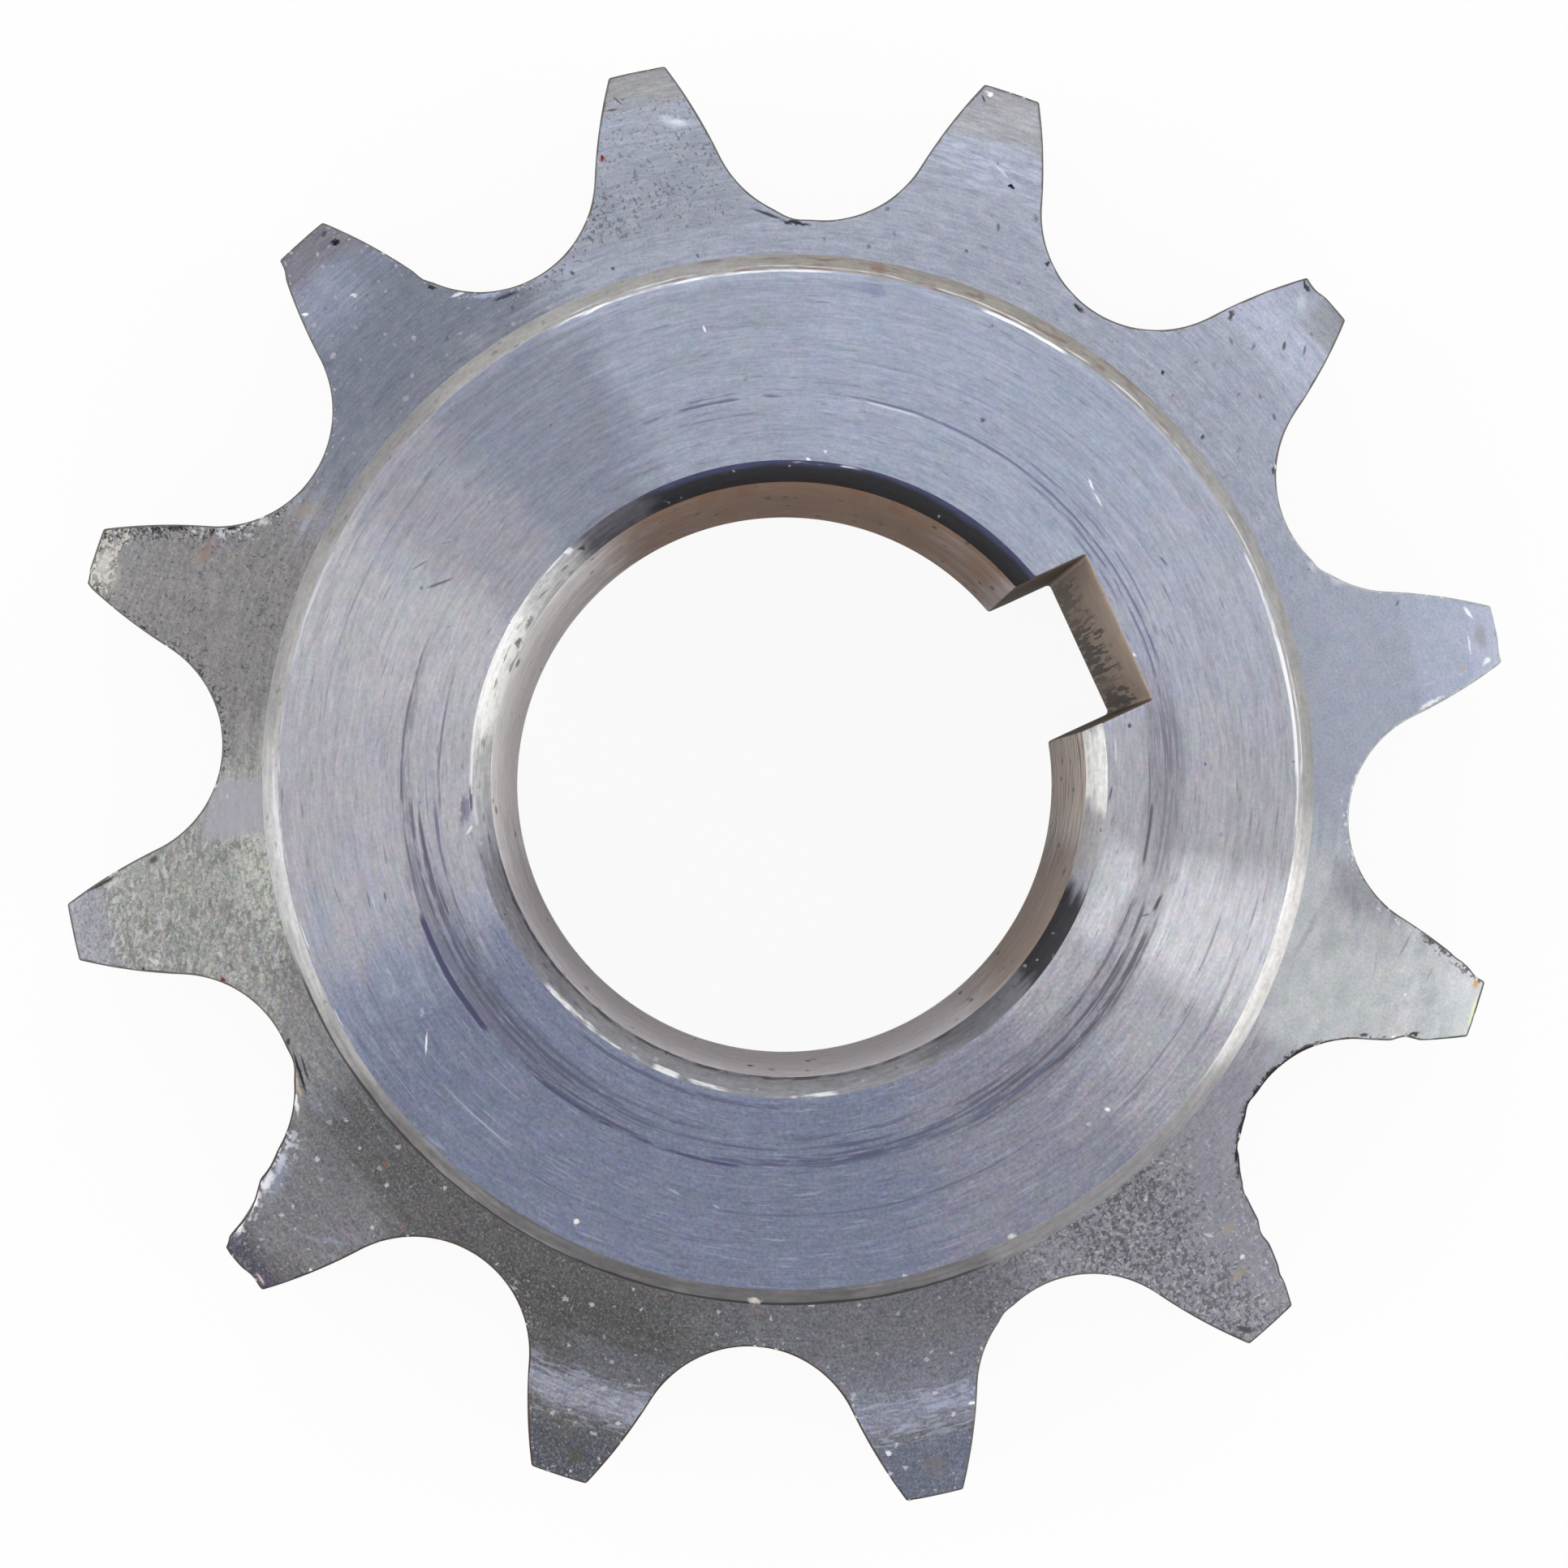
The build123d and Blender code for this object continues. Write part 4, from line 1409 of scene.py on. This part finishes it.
PLATE = Finish(
    name="turned_plate", tint=0x9EA3B2, roughness=0.42, drawn=0.3,
    layers=(
        # Mostly painted sheen and shade: darker towards 314° and darkest near the hub there, lighter towards
        # 46° and 242°; the lighter bands from radius 33.6 out are painted highlights on the tooth relief.
        *rows(
            PaintedLightAndTone,
            (0x7E828E, Where(200, 8, 24)), (0x787D8B, Where(197.1, 8, 16, inner=29.8, feather=1.4)),
            (0x646364, Where(314, 28, 54)),
            (0x575756, Where(318, 6, 24, inner=29.6, outer=32.6, feather=2.4, ragged=0.5), 0.9),
            (0x717177, Where(350, 4, 30, ragged=0.5)), (0x8F8E96, Where(16, 9, 20)),
            (0xA2A2A0, Where(242, 12, 26)), (0x8C8C8D, Where(270, 3, 12)),
            (0xB4B6B1, Where(255, 3, 10, outer=31)), (0x888687, Where(228, 9, 17)),
            (0x9D9E9B, Where(257.1, 10, 15, inner=29.8, feather=1.6)), (0xB9BCC0, Where(46, 8, 17)),
            (0x96949E, Where(30, 3, 9)),
            (0x8E8D97, Where(53, 2, 6.5, inner=30.2, outer=34.8, feather=1.8), 0.8),
            (0x8D8C97, Where(19, 3, 6, inner=30.6, outer=37.4, feather=1.4), 0.65),
            (0xBCBFC2, Where(45.5, 5, 9, inner=29.4, feather=1.2), 0.66),
            (0xA8AEC2, Where(77.1, 8, 12, inner=34.7, feather=0.5), 0.6),
            (0xB0B5C8, Where(107, 8, 12, inner=34.6, outer=37.6, feather=1.4), 0.5),
            (0x8C8E92, Where(104.6, 1.2, 3, inner=37.4, feather=1.2), 0.7),
            (0x98989C, Where(137, 8, 12, inner=36.6, feather=1.0), 0.85),
            (0x8C8A88, Where(168, 7, 11, inner=37.5, feather=1.4), 0.75),
            (0x9094A0, Where(168, 7, 11, inner=30.2, outer=37.5, feather=1.6), 0.6),
            (0x767076, Where(196, 4, 8, inner=37.2, feather=1.6), 0.6),
            (0x969CB0, Where(199, 2, 5, inner=34.6, outer=37.4, feather=1.8), 0.4),
            (0x92929C, Where(257, 4, 7, inner=37.3, feather=1.4), 0.85),
            (0x545062, Where(286.5, 4, 7, inner=38.3, feather=1.2), 0.75),
            (0x828186, Where(287, 5, 9, inner=31.6, outer=37.4, feather=2.4), 0.7),
            (0x9C9EAE, Where(317.5, 13, 22, inner=33.9, outer=35.4, feather=1.5, ragged=1.2), 0.85),
            (0x6C6D75, Where(321, 4, 9, inner=31.6, outer=34.2, feather=1.8), 0.6),
            (0x545862, Where(317, 8, 14, inner=36.9, feather=1.2), 0.7),
            (0x767883, Where(347.5, 10, 18, inner=31.4, outer=34.0, feather=1.6), 0.7),
            (0x8E92A5, Where(347.5, 9, 16, inner=33.6, outer=35.4, feather=1.6), 0.7),
            (0x686F83, Where(347, 8, 14, inner=36.2, feather=1.2), 0.7),
        ),
        Mottle(1.7, 0.07, hue=0.045, detail=2.0, seed=15),
        TurningLines(0.12, 0.7, 32, contrast=0.2, where=Where(62, 18, 28, outside=True), seed=31),
        TurningLines(0.25, 2.6, 32, 0.16, depth=0.0, where=Where(20, 60, 86, outside=True), seed=35),
        Mottle(0.15, 0.26, hue=0.16, detail=2.0, seed=12),
        Mottle(0.17, 0.7, 0.2, 2.0, Where(310, 52, 78), seed=22),
        Mottle(0.2, 0.5, 0.1, 2.0, Where(228, 10, 18), seed=24),
        Mottle(0.24, 0.34, 0.08, 2.0, Where(257, 12, 20), 1.8, 150, seed=12),
        Mottle(0.3, 0.36, 0.1, 3.0, Where(14, 14, 22), seed=28),
        Mottle(1.1, 0.3, 0.06, 4.0, Where(46, 10, 18), 1.8, 137, seed=29),
        Mottle(0.8, 0.14, hue=0.06, detail=2.0, seed=14),
        # Painted highlight: bright streaks on the tooth relief, between radii 33.4 and 36.4.
        Streaks(0xBAC0D6, 0.5, Where(137, 5, 8, inner=33.8, outer=36.2), 0.2, 1.2, 35, seed=44),
        Streaks(0xB2B6CA, 0.42, Where(328, 28, 40, inner=33.4, outer=36.4), 0.17, 0.9, 34.5),
        Grain(0.22, 0x72726C, 0.5, 0.58, Where(257, 9, 16, outer=37.8), 0, 2.6, 142, seed=3),
        Grain(0.24, 0xC6C8C4, 0.4, 0.55, Where(256, 8, 15, outer=37.8), 0, 2.6, 142, seed=8),
        Grain(0.2, DARK_PIT, 0.3, 0.6, Where(228, 9, 16), depth=0.01, seed=3),
        Grain(0.26, 0x4E4C52, 0.56, 0.62, Where(12.4, 4, 8), depth=0.01, seed=21),
        Grain(0.26, 0x545258, 0.46, 0.58, Where(8.5, 9, 20, outer=33), seed=23),
        Grain(0.24, 0xC2C2C4, 0.34, 0.5, Where(13, 9, 14), seed=25),
        Grain(0.26, 0x605E62, 0.36, 0.5, Where(17.1, 6, 8, inner=37), seed=26),
        Grain(0.2, BLACK, 0.56, 0.85, Where(223, 2.2, 4.5, inner=33.6, rim=1.9), depth=0.02, seed=1),
        Grain(0.2, BLACK, 0.42, 0.8, Where(228, 12, 18, rim=1.1), depth=0.02, seed=2),
        Grain(0.22, BLACK, 0.5, 0.8, Where(32, 7, 11, rim=0.8), depth=0.02, seed=5),
        Grain(0.24, 0x3E3E44, 0.44, 0.65, Where(174, 6, 10, outer=33.5, rim=2.8), seed=6),
        Grain(0.2, 0x545458, 0.36, 0.55, Where(167.5, 5, 9, inner=30.5, outer=38), seed=7),
        Grain(0.2, WHITE, 0.4, 0.6, Where(58, 3, 9, rim=1.1), seed=9),
        Grain(0.3, BLACK, 0.56, 0.85, Where(50.9, 1.2, 2.4, inner=35.0, rim=0.9), seed=44),
        Grain(0.26, BLACK, 0.46, 0.8, Where(43, 3, 5, inner=33.0, outer=37.6, rim=0.6), seed=45),
        Grain(0.36, 0xD8DAE4, 0.62, 0.85, Where(283, 1.6, 3.2, inner=32.6, outer=38.6, rim=1.7), seed=41),
        Grain(0.24, 0xCECABE, 0.56, 0.65, Where(227.3, 3, 5, inner=37.6, feather=1.2), seed=42),
        Grain(0.22, 0xD6D8DE, 0.46, 0.7, Where(219.6, 2, 4, rim=1.7), seed=43),
        PaintedLightAndTone(0xAAA8B2, Where(247.9, 2, 3.6, outer=31.8, feather=1.2), 0.75),
        Grain(0.2, PALE, 0.36, 0.5, Where(205, 22, 32, rim=1.2), seed=10),
        Grain(0.2, PALE, 0.34, 0.5, Where(340, 30, 50, rim=1.6), seed=11),
        Grain(0.15, 0x8C8E94, 0.42, 0.5, Where(330, 48, 70), seed=30),
        Specks(0.8, 0.1, 0.4, 0xBABCC2, 0.65, where=Where(330, 50, 75), seed=17),
        Specks(1.5, 0.19, 0.55, 0xD2D2D6, 0.75, where=Where(318, 40, 70), seed=18),
        Specks(0.9, 0.19, 0.42, 0xB8B4BE, 0.6, where=Where(196, 11, 19), seed=19),
        Specks(1.3, 0.17, 0.34, DARK_PIT, 0.55, where=Where(20, 60, 80, outside=True), seed=7),
        Specks(3.1, 0.2, 0.4, 0xAA6E54, 0.5, where=Where(300, 20, 40), seed=27),
        *PLATE_MARKS,
        RimLine(0.2, 0x605C5A, 0.6),
        RimLine(0.4, 0x282628, 0.9, patchy=0.3, where=Where(32, 6, 9), seed=4),
        RimLine(0.26, 0x784234, 0.6, patchy=0.8, where=Where(320, 18, 30), seed=5),
        RimLine(0.24, WHITE, 0.5, patchy=0.8, where=Where(76, 16, 24), seed=8),
    ),
)

BACK = Finish(
    name="turned_back", tint=0x969AA6, roughness=0.42, drawn=0.3,
    layers=(
        Mottle(2.5, 0.08, hue=0.12, detail=2.0, seed=5),
        TurningLines(0.12, 1.5, 28, contrast=0.22, seed=41),
        TurningLines(0.3, 6, 28, contrast=0.18, detail=2.0, seed=42),
        Mottle(0.9, 0.12, detail=3.0, seed=43),
        Mottle(0.17, 0.16, hue=0.14, detail=2.0, seed=44),
        Grain(0.22, DARK_PIT, 0.24, 0.6, depth=0.01, seed=4),
        Specks(1.9, 0.15, 0.2, BLACK, 0.75, depth=0.02, seed=4),
        RimLine(0.28, 0x605C5A, 0.8),
    ),
)

FLANK = Finish(
    name="cut_flank", tint=0x807D7A, roughness=0.5,
    layers=(
        Mottle(0.5, 0.25, hue=0.1, detail=3.0, seed=15),
        Grain(0.3, DARK_PIT, 0.28, 0.7, depth=0.01, seed=6),
    ),
)

EDGE = Finish(
    name="broken_edge", tint=0x706D6A, roughness=0.5,
    layers=(
        # Painted shade and highlight: the broken edge darker towards 32° and 312° and lighter towards 76°.
        *rows(
            PaintedLightAndTone,
            (0x383432, Where(32, 7, 10)), (0x605C5E, Where(17, 6, 9)), (0x544844, Where(312, 30, 44)),
            (0xB2B2B4, Where(76, 14, 22)),
        ),
        Mottle(0.6, 0.7, detail=3.0, seed=16),
        Grain(0.5, WHITE, 0.24, 0.6, seed=36),
    ),
)

HUB_SIDE = Finish(
    name="turned_hub_side", tint=0x96969B, roughness=0.42,
    layers=(
        TurningLines(0.25, 6, 26, contrast=0.26, detail=2.0, upright=True, seed=51),
        Mottle(4.0, 0.1, hue=0.12, detail=2.0, seed=52),
        Mottle(0.3, 0.14, hue=0.1, detail=2.0, seed=53),
    ),
)

HUB_CHAMFER = Finish(
    name="hub_chamfer", tint=0xA6A4A4, roughness=0.5,
    layers=(
        # Painted sheen and shade: the chamfer lighter towards 46° and 255° and darker towards 322°.
        *rows(
            PaintedLightAndTone,
            (0x9E9A95, Where(136, 18, 34)), (0x949295, Where(8, 14, 24)), (0xA2A0A2, Where(30, 2, 10)),
            (0x6E6C6E, Where(322, 10, 50)), (0x969495, Where(209, 6, 12)), (0xC8C8C8, Where(255, 4, 18)),
            (0xE6E4E2, Where(46, 3, 18, ragged=0.6)),
        ),
        TurningLines(0.2, 1.5, 26, contrast=0.22, seed=61),
        Mottle(0.3, 0.2, hue=0.14, detail=2.0, seed=63),
        Streaks(0x7E6054, 0.5, Where(142, 16, 40), 0.3, 1.6, 26, sparse=0.6, seed=64),
        Streaks(0x605A58, 0.4, Where(240, 60, 90), 0.24, 0.6, 26, sparse=0.95, seed=65),
        # Painted shadow: the dark line round the chamfer's outer edge, where the hub's side meets the plate;
        # the bright lines along its inner edge are burrs with their glint painted in.
        *rows(
            ToolMarkAndEdgeShading,
            (26.5, 266, 358, 0.24, 0x322E2E, 0.9, 0.15, 8), (25.85, 60, 182, 0.1, BURR_GLINT, 0.7, 0.5, 8),
            (25.88, 243, 272, 0.1, BURR_GLINT, 0.6, 0.56),
        ),
        *rows(
            Mark,
            (23.15, -12.54, 0.9, 0.4, 60, 0xD6D0CA, 0.9), (-21.6, 14.9, 1.2, 0.6, 50, 0x887062, 0.45),
            (-18.1, 19, 0.5, 0.4, 0, 0x7E6256, 0.5),
        ),
    ),
)

BORE_CHAMFER = Finish(
    name="bore_chamfer", tint=0x9EA0AB, roughness=0.55, metallic=0.3,
    layers=(
        # Painted light and shade: the chamfer near black towards 144° and 35°, where it lies in shade, and
        # near white towards 225° and 69°, where it catches the light.
        *rows(
            PaintedLightAndTone,
            (0x8E8E94, Where(325, 38, 56)), (0x6E6E75, Where(14, 8, 16)), (0x222226, Where(144, 40, 48)),
            (0x56545C, Where(191, 6, 12)), (0xC6C7C7, Where(224, 20, 32)), (0xFFFFFD, Where(225, 5, 16)),
            (0x7F7E86, Where(275, 8, 18)), (0x302E34, Where(35, 6, 12, ragged=1.4)),
            (0xA6A4A7, Where(54, 3, 9)), (0xE8E8E6, Where(69, 4, 10, ragged=1.4)),
            (0x464A70, Where(142, 36, 44, inner=15.84, feather=0.24), 0.75),
        ),
        TurningLines(0.14, 1.2, 15.5, contrast=0.34, seed=71),
        Mottle(0.3, 0.26, hue=0.14, detail=2.0, seed=73),
        Streaks(0x464242, 0.6, Where(235, 60, 80), 0.18, 1.0, 15.5, sparse=0.9, seed=77),
        *rows(
            Mark,
            (-5.79, -15.02, 1.9, 0.5, -20, 0x4A465C, 0.9, 0.6, 0.04),
            (-15.06, -5.3, 0.7, 0.5, 70, WHITE, 1, 0.6, -0.05), (-14.9, -4.6, 0.5, 0.3, 70, BLACK, 0.9),
            (-12.68, -8.54, 0.9, 0.4, -56, 0x787476, 0.7), (-11.98, -9.5, 0.8, 0.36, -50, 0x545054, 0.8),
        ),
        # The white lines along the chamfer's inner edge are burrs with their glint painted in.
        *rows(
            ToolMarkAndEdgeShading,
            (15.85, 248.5, 253.5, 0.2, PALE, 0.85, 0.3, 1), (15.96, 286, 297, 0.26, WHITE, 0.9, 0.38, 3),
            (15.96, 298, 307, 0.16, WHITE, 0.8, 0.5, 3), (15.98, 310.5, 314.5, 0.3, WHITE, 0.9, 0.3, 1.5),
            (15.96, 317.5, 323.5, 0.2, WHITE, 0.85, 0.45, 2), (15.96, 336, 344, 0.2, WHITE, 0.85, 0.5, 2),
            (15.97, 143, 153, 0.1, WHITE, 0.9, 0.55), (15.97, 200, 247, 0.12, WHITE, 0.8, 0.45),
            (15.1, 262, 368, 0.16, 0x3E3C40, 0.75, 0.45),
        ),
        Specks(1.1, 0.12, 0.2, BLACK, 0.7, seed=75),
        Specks(0.9, 0.12, 0.2, PALE, 0.6, seed=76),
    ),
)

BORE = Finish(
    name="bore_wall", tint=0xCAC6CC, roughness=0.7, metallic=0.0, gloss=0.25,
    layers=(
        # Painted light and shade with the wall's brown tone: near white towards 228°, where light falls into
        # the bore, and dark brown towards 150°, where it lies in shade.
        *rows(
            PaintedLightAndTone,
            (0x8A6A52, Where(150, 24, 64)), (0xFCFAFA, Where(228, 14, 42)), (0x9A8A7E, Where(34, 6, 24)),
            (0xCBBFB5, Where(68, 6, 16)),
        ),
        Mottle(1.8, 0.2, hue=0.04, detail=2.0, seed=80),
        TurningLines(0.5, 2.4, 15, contrast=0.2, depth=0.004, upright=True, seed=81),
        Mottle(0.5, 0.3, hue=0.05, detail=3.0, seed=82),
        Streaks(0x463C34, 0.7, Where(66, 10, 24), 0.5, 2.5, 15, sparse=0.5, upright=True, seed=83),
        Specks(0.9, 0.26, 0.8, 0x2E2620, 1.0, 0.01, Where(146, 40, 60), flat=False, tall=7, seed=5),
        Specks(1.0, 0.24, 0.8, 0x322A24, 0.95, 0.01, flat=False, tall=7, seed=6),
        Specks(2.0, 0.34, 0.6, 0x2A2420, 0.95, 0.01, flat=False, tall=5, seed=9),
    ),
)

KEYWAY = Finish(
    name="broached_keyway", tint=0xB6A595, roughness=0.7, metallic=0.0, gloss=0.12,
    layers=(
        # Painted shade: the keyway's side walls darker than its end wall.
        PaintedLightAndTone(0x66584E, Where(90, 11.9, 12.4, ragged=0.0, outside=True)),
        Mottle(1.4, 0.2, hue=0.12, detail=2.0, seed=90),
        Mottle(0.4, 0.34, hue=0.12, detail=3.0, seed=17),
        BroachLines(0x322C28, 0.85, x=0.5, half=2.4, top=26, pitch=0.22, run=8.0, seed=17),
        BroachLines(0x3C342E, 0.8, x=3.4, half=1.0, top=28, pitch=0.2, run=5.0, seed=27),
        BroachLines(0x4A423A, 0.6, x=-2.4, half=1.6, top=22, pitch=0.2, run=6.0, seed=37),
        Specks(1.0, 0.22, 0.36, 0x322C26, 0.8, depth=0.02, flat=False, seed=6),
    ),
)

FINISHES: dict[Surface, Finish] = {
    Surface.PLATE: PLATE,
    Surface.BACK: BACK,
    Surface.FLANK: FLANK,
    Surface.EDGE: EDGE,
    Surface.HUB_SIDE: HUB_SIDE,
    Surface.HUB_CHAMFER: HUB_CHAMFER,
    Surface.HUB_FACE: HUB_FACE,
    Surface.BORE_CHAMFER: BORE_CHAMFER,
    Surface.BORE: BORE,
    Surface.KEYWAY: KEYWAY,
}


# ---- Studio ----


@dataclass(frozen=True)
class SoftBox:
    """A square soft lamp aimed at the sprocket.

    Args:
        name: Name of the lamp.
        bearing: Bearing that it stands at.
        rise: Its height above the floor as an angle, in degrees.
        size: Length of its side, in metres.
        glow: Its brightness, where a white surface in plain light has one.
        away: Distance from the sprocket, in metres.
    """

    name: str
    bearing: float
    rise: float
    size: float
    glow: float
    away: float = 0.8

    def hang(self) -> None:
        """Add the lamp to the scene."""
        lamp = bpy.data.lights.new(self.name, "AREA")
        lamp.shape = "SQUARE"
        lamp.size = self.size
        lamp.energy = self.glow * math.pi * self.size**2
        flat = along(self.bearing, math.cos(math.radians(self.rise)))
        way = Vector((*flat, math.sin(math.radians(self.rise))))
        aim = way.to_track_quat("Z", "Y").to_matrix().to_4x4()
        put_in_scene(self.name, lamp).matrix_world = Matrix.Translation(way * self.away) @ aim


@dataclass(frozen=True)
class Studio:
    """Pale floor, soft lamps, even surroundings and the camera, which looks down along the bore.

    Lengths are in metres and angles in degrees.
    """

    lamps: tuple[SoftBox, ...] = (
        SoftBox("lamp_left", bearing=245, rise=38, size=0.5, glow=0.8),
        SoftBox("lamp_right", bearing=60, rise=38, size=0.5, glow=0.8),
        SoftBox("lamp_top", bearing=155, rise=55, size=0.6, glow=0.5),
    )
    surround: float = 0.8
    floor_size: float = 3.0
    floor_drop: float = 0.0001
    floor_glow: float = 0.93
    lens: float = 113.603
    sensor: float = 36.0
    camera_place: tuple[float, float, float] = (0.001557, -0.002905, 0.278927)
    camera_turns: tuple[tuple[float, str], ...] = ((65.267, "Z"), (0.548, "X"), (-0.404, "Y"))
    nearest: float = 0.01

    @staticmethod
    def _seen(graph: Graph) -> Wire:
        """One for what is seen directly or in metal or glass, and nought for the light it gives."""
        path = graph.node("ShaderNodeLightPath", output="Is Camera Ray")
        rays = path.socket.node.outputs
        others = (Wire(graph, rays[f"Is {kind} Ray"]) for kind in ("Glossy", "Transmission"))
        return sum(others, path).least(1.0)

    def floor(self) -> bpy.types.Object:
        """Lay the floor: matt and pale, and partly as bright as plain white where it is seen."""
        mesh = bmesh.new()
        bmesh.ops.create_grid(mesh, x_segments=1, y_segments=1, size=self.floor_size / 2)
        bmesh.ops.translate(mesh, verts=mesh.verts[:], vec=(0, 0, -self.floor_drop))
        data = bpy.data.meshes.new("floor")
        mesh.to_mesh(data)
        mesh.free()
        material = bpy.data.materials.new("pale_floor")
        graph = Graph(material)
        matt = graph.node("ShaderNodeBsdfDiffuse", {}, {"Color": (1, 1, 1)})
        white = graph.node("ShaderNodeEmission", {}, {"Color": (1, 1, 1), "Strength": 1.0})
        share = self._seen(graph) * self.floor_glow
        both = graph.node("ShaderNodeMixShader", {}, {0: share, 1: matt, 2: white})
        graph.end("ShaderNodeOutputMaterial", both)
        data.materials.append(material)
        return put_in_scene("floor", data)

    def camera(self) -> None:
        """Hang the camera over the sprocket, where it looks down along the bore."""
        data = bpy.data.cameras.new("camera")
        data.sensor_fit = "HORIZONTAL"
        data.sensor_width = self.sensor
        data.lens = self.lens
        data.clip_start = self.nearest
        place = Matrix.Translation(self.camera_place)
        for angle, axis in self.camera_turns:
            place @= Matrix.Rotation(math.radians(angle), 4, axis)
        camera = put_in_scene("camera", data)
        camera.matrix_world = place
        bpy.context.scene.camera = camera

    def surroundings(self) -> None:
        """Make all round the scene white where it is seen, and an even soft light otherwise."""
        world = bpy.data.worlds.new("surroundings")
        graph = Graph(world)
        dim, white = (
            graph.node("ShaderNodeBackground", {}, {"Color": (1, 1, 1), "Strength": strength})
            for strength in (self.surround, 1.0)
        )
        both = graph.node("ShaderNodeMixShader", {}, {0: self._seen(graph), 1: dim, 2: white})
        graph.end("ShaderNodeOutputWorld", both)
        bpy.context.scene.world = world

    def set_up(self) -> bpy.types.Object:
        """Put everything in its place and return the floor."""
        self.camera()
        self.surroundings()
        for lamp in self.lamps:
            lamp.hang()
        return self.floor()


def main() -> None:
    """Build the sprocket, dress it and set it up in its studio."""
    logging.basicConfig(level=logging.INFO, format="%(name)s: %(message)s")
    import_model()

    piece = SprocketBody(nicks=NICKS).build("sprocket_steel")
    settle_normals(piece)
    for surface in Surface:
        for material in FINISHES[surface].materials(surface.sectors):
            piece.data.materials.append(material)
    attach(piece, "root")
    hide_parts("sprocket")
    LOG.info("%s: %d faces, %d materials", piece.name, len(piece.data.polygons), len(piece.data.materials))

    Studio().set_up()
    bpy.context.scene.view_settings.view_transform = "Standard"
    bpy.context.view_layer.update()


if __name__ == "__main__":
    main()
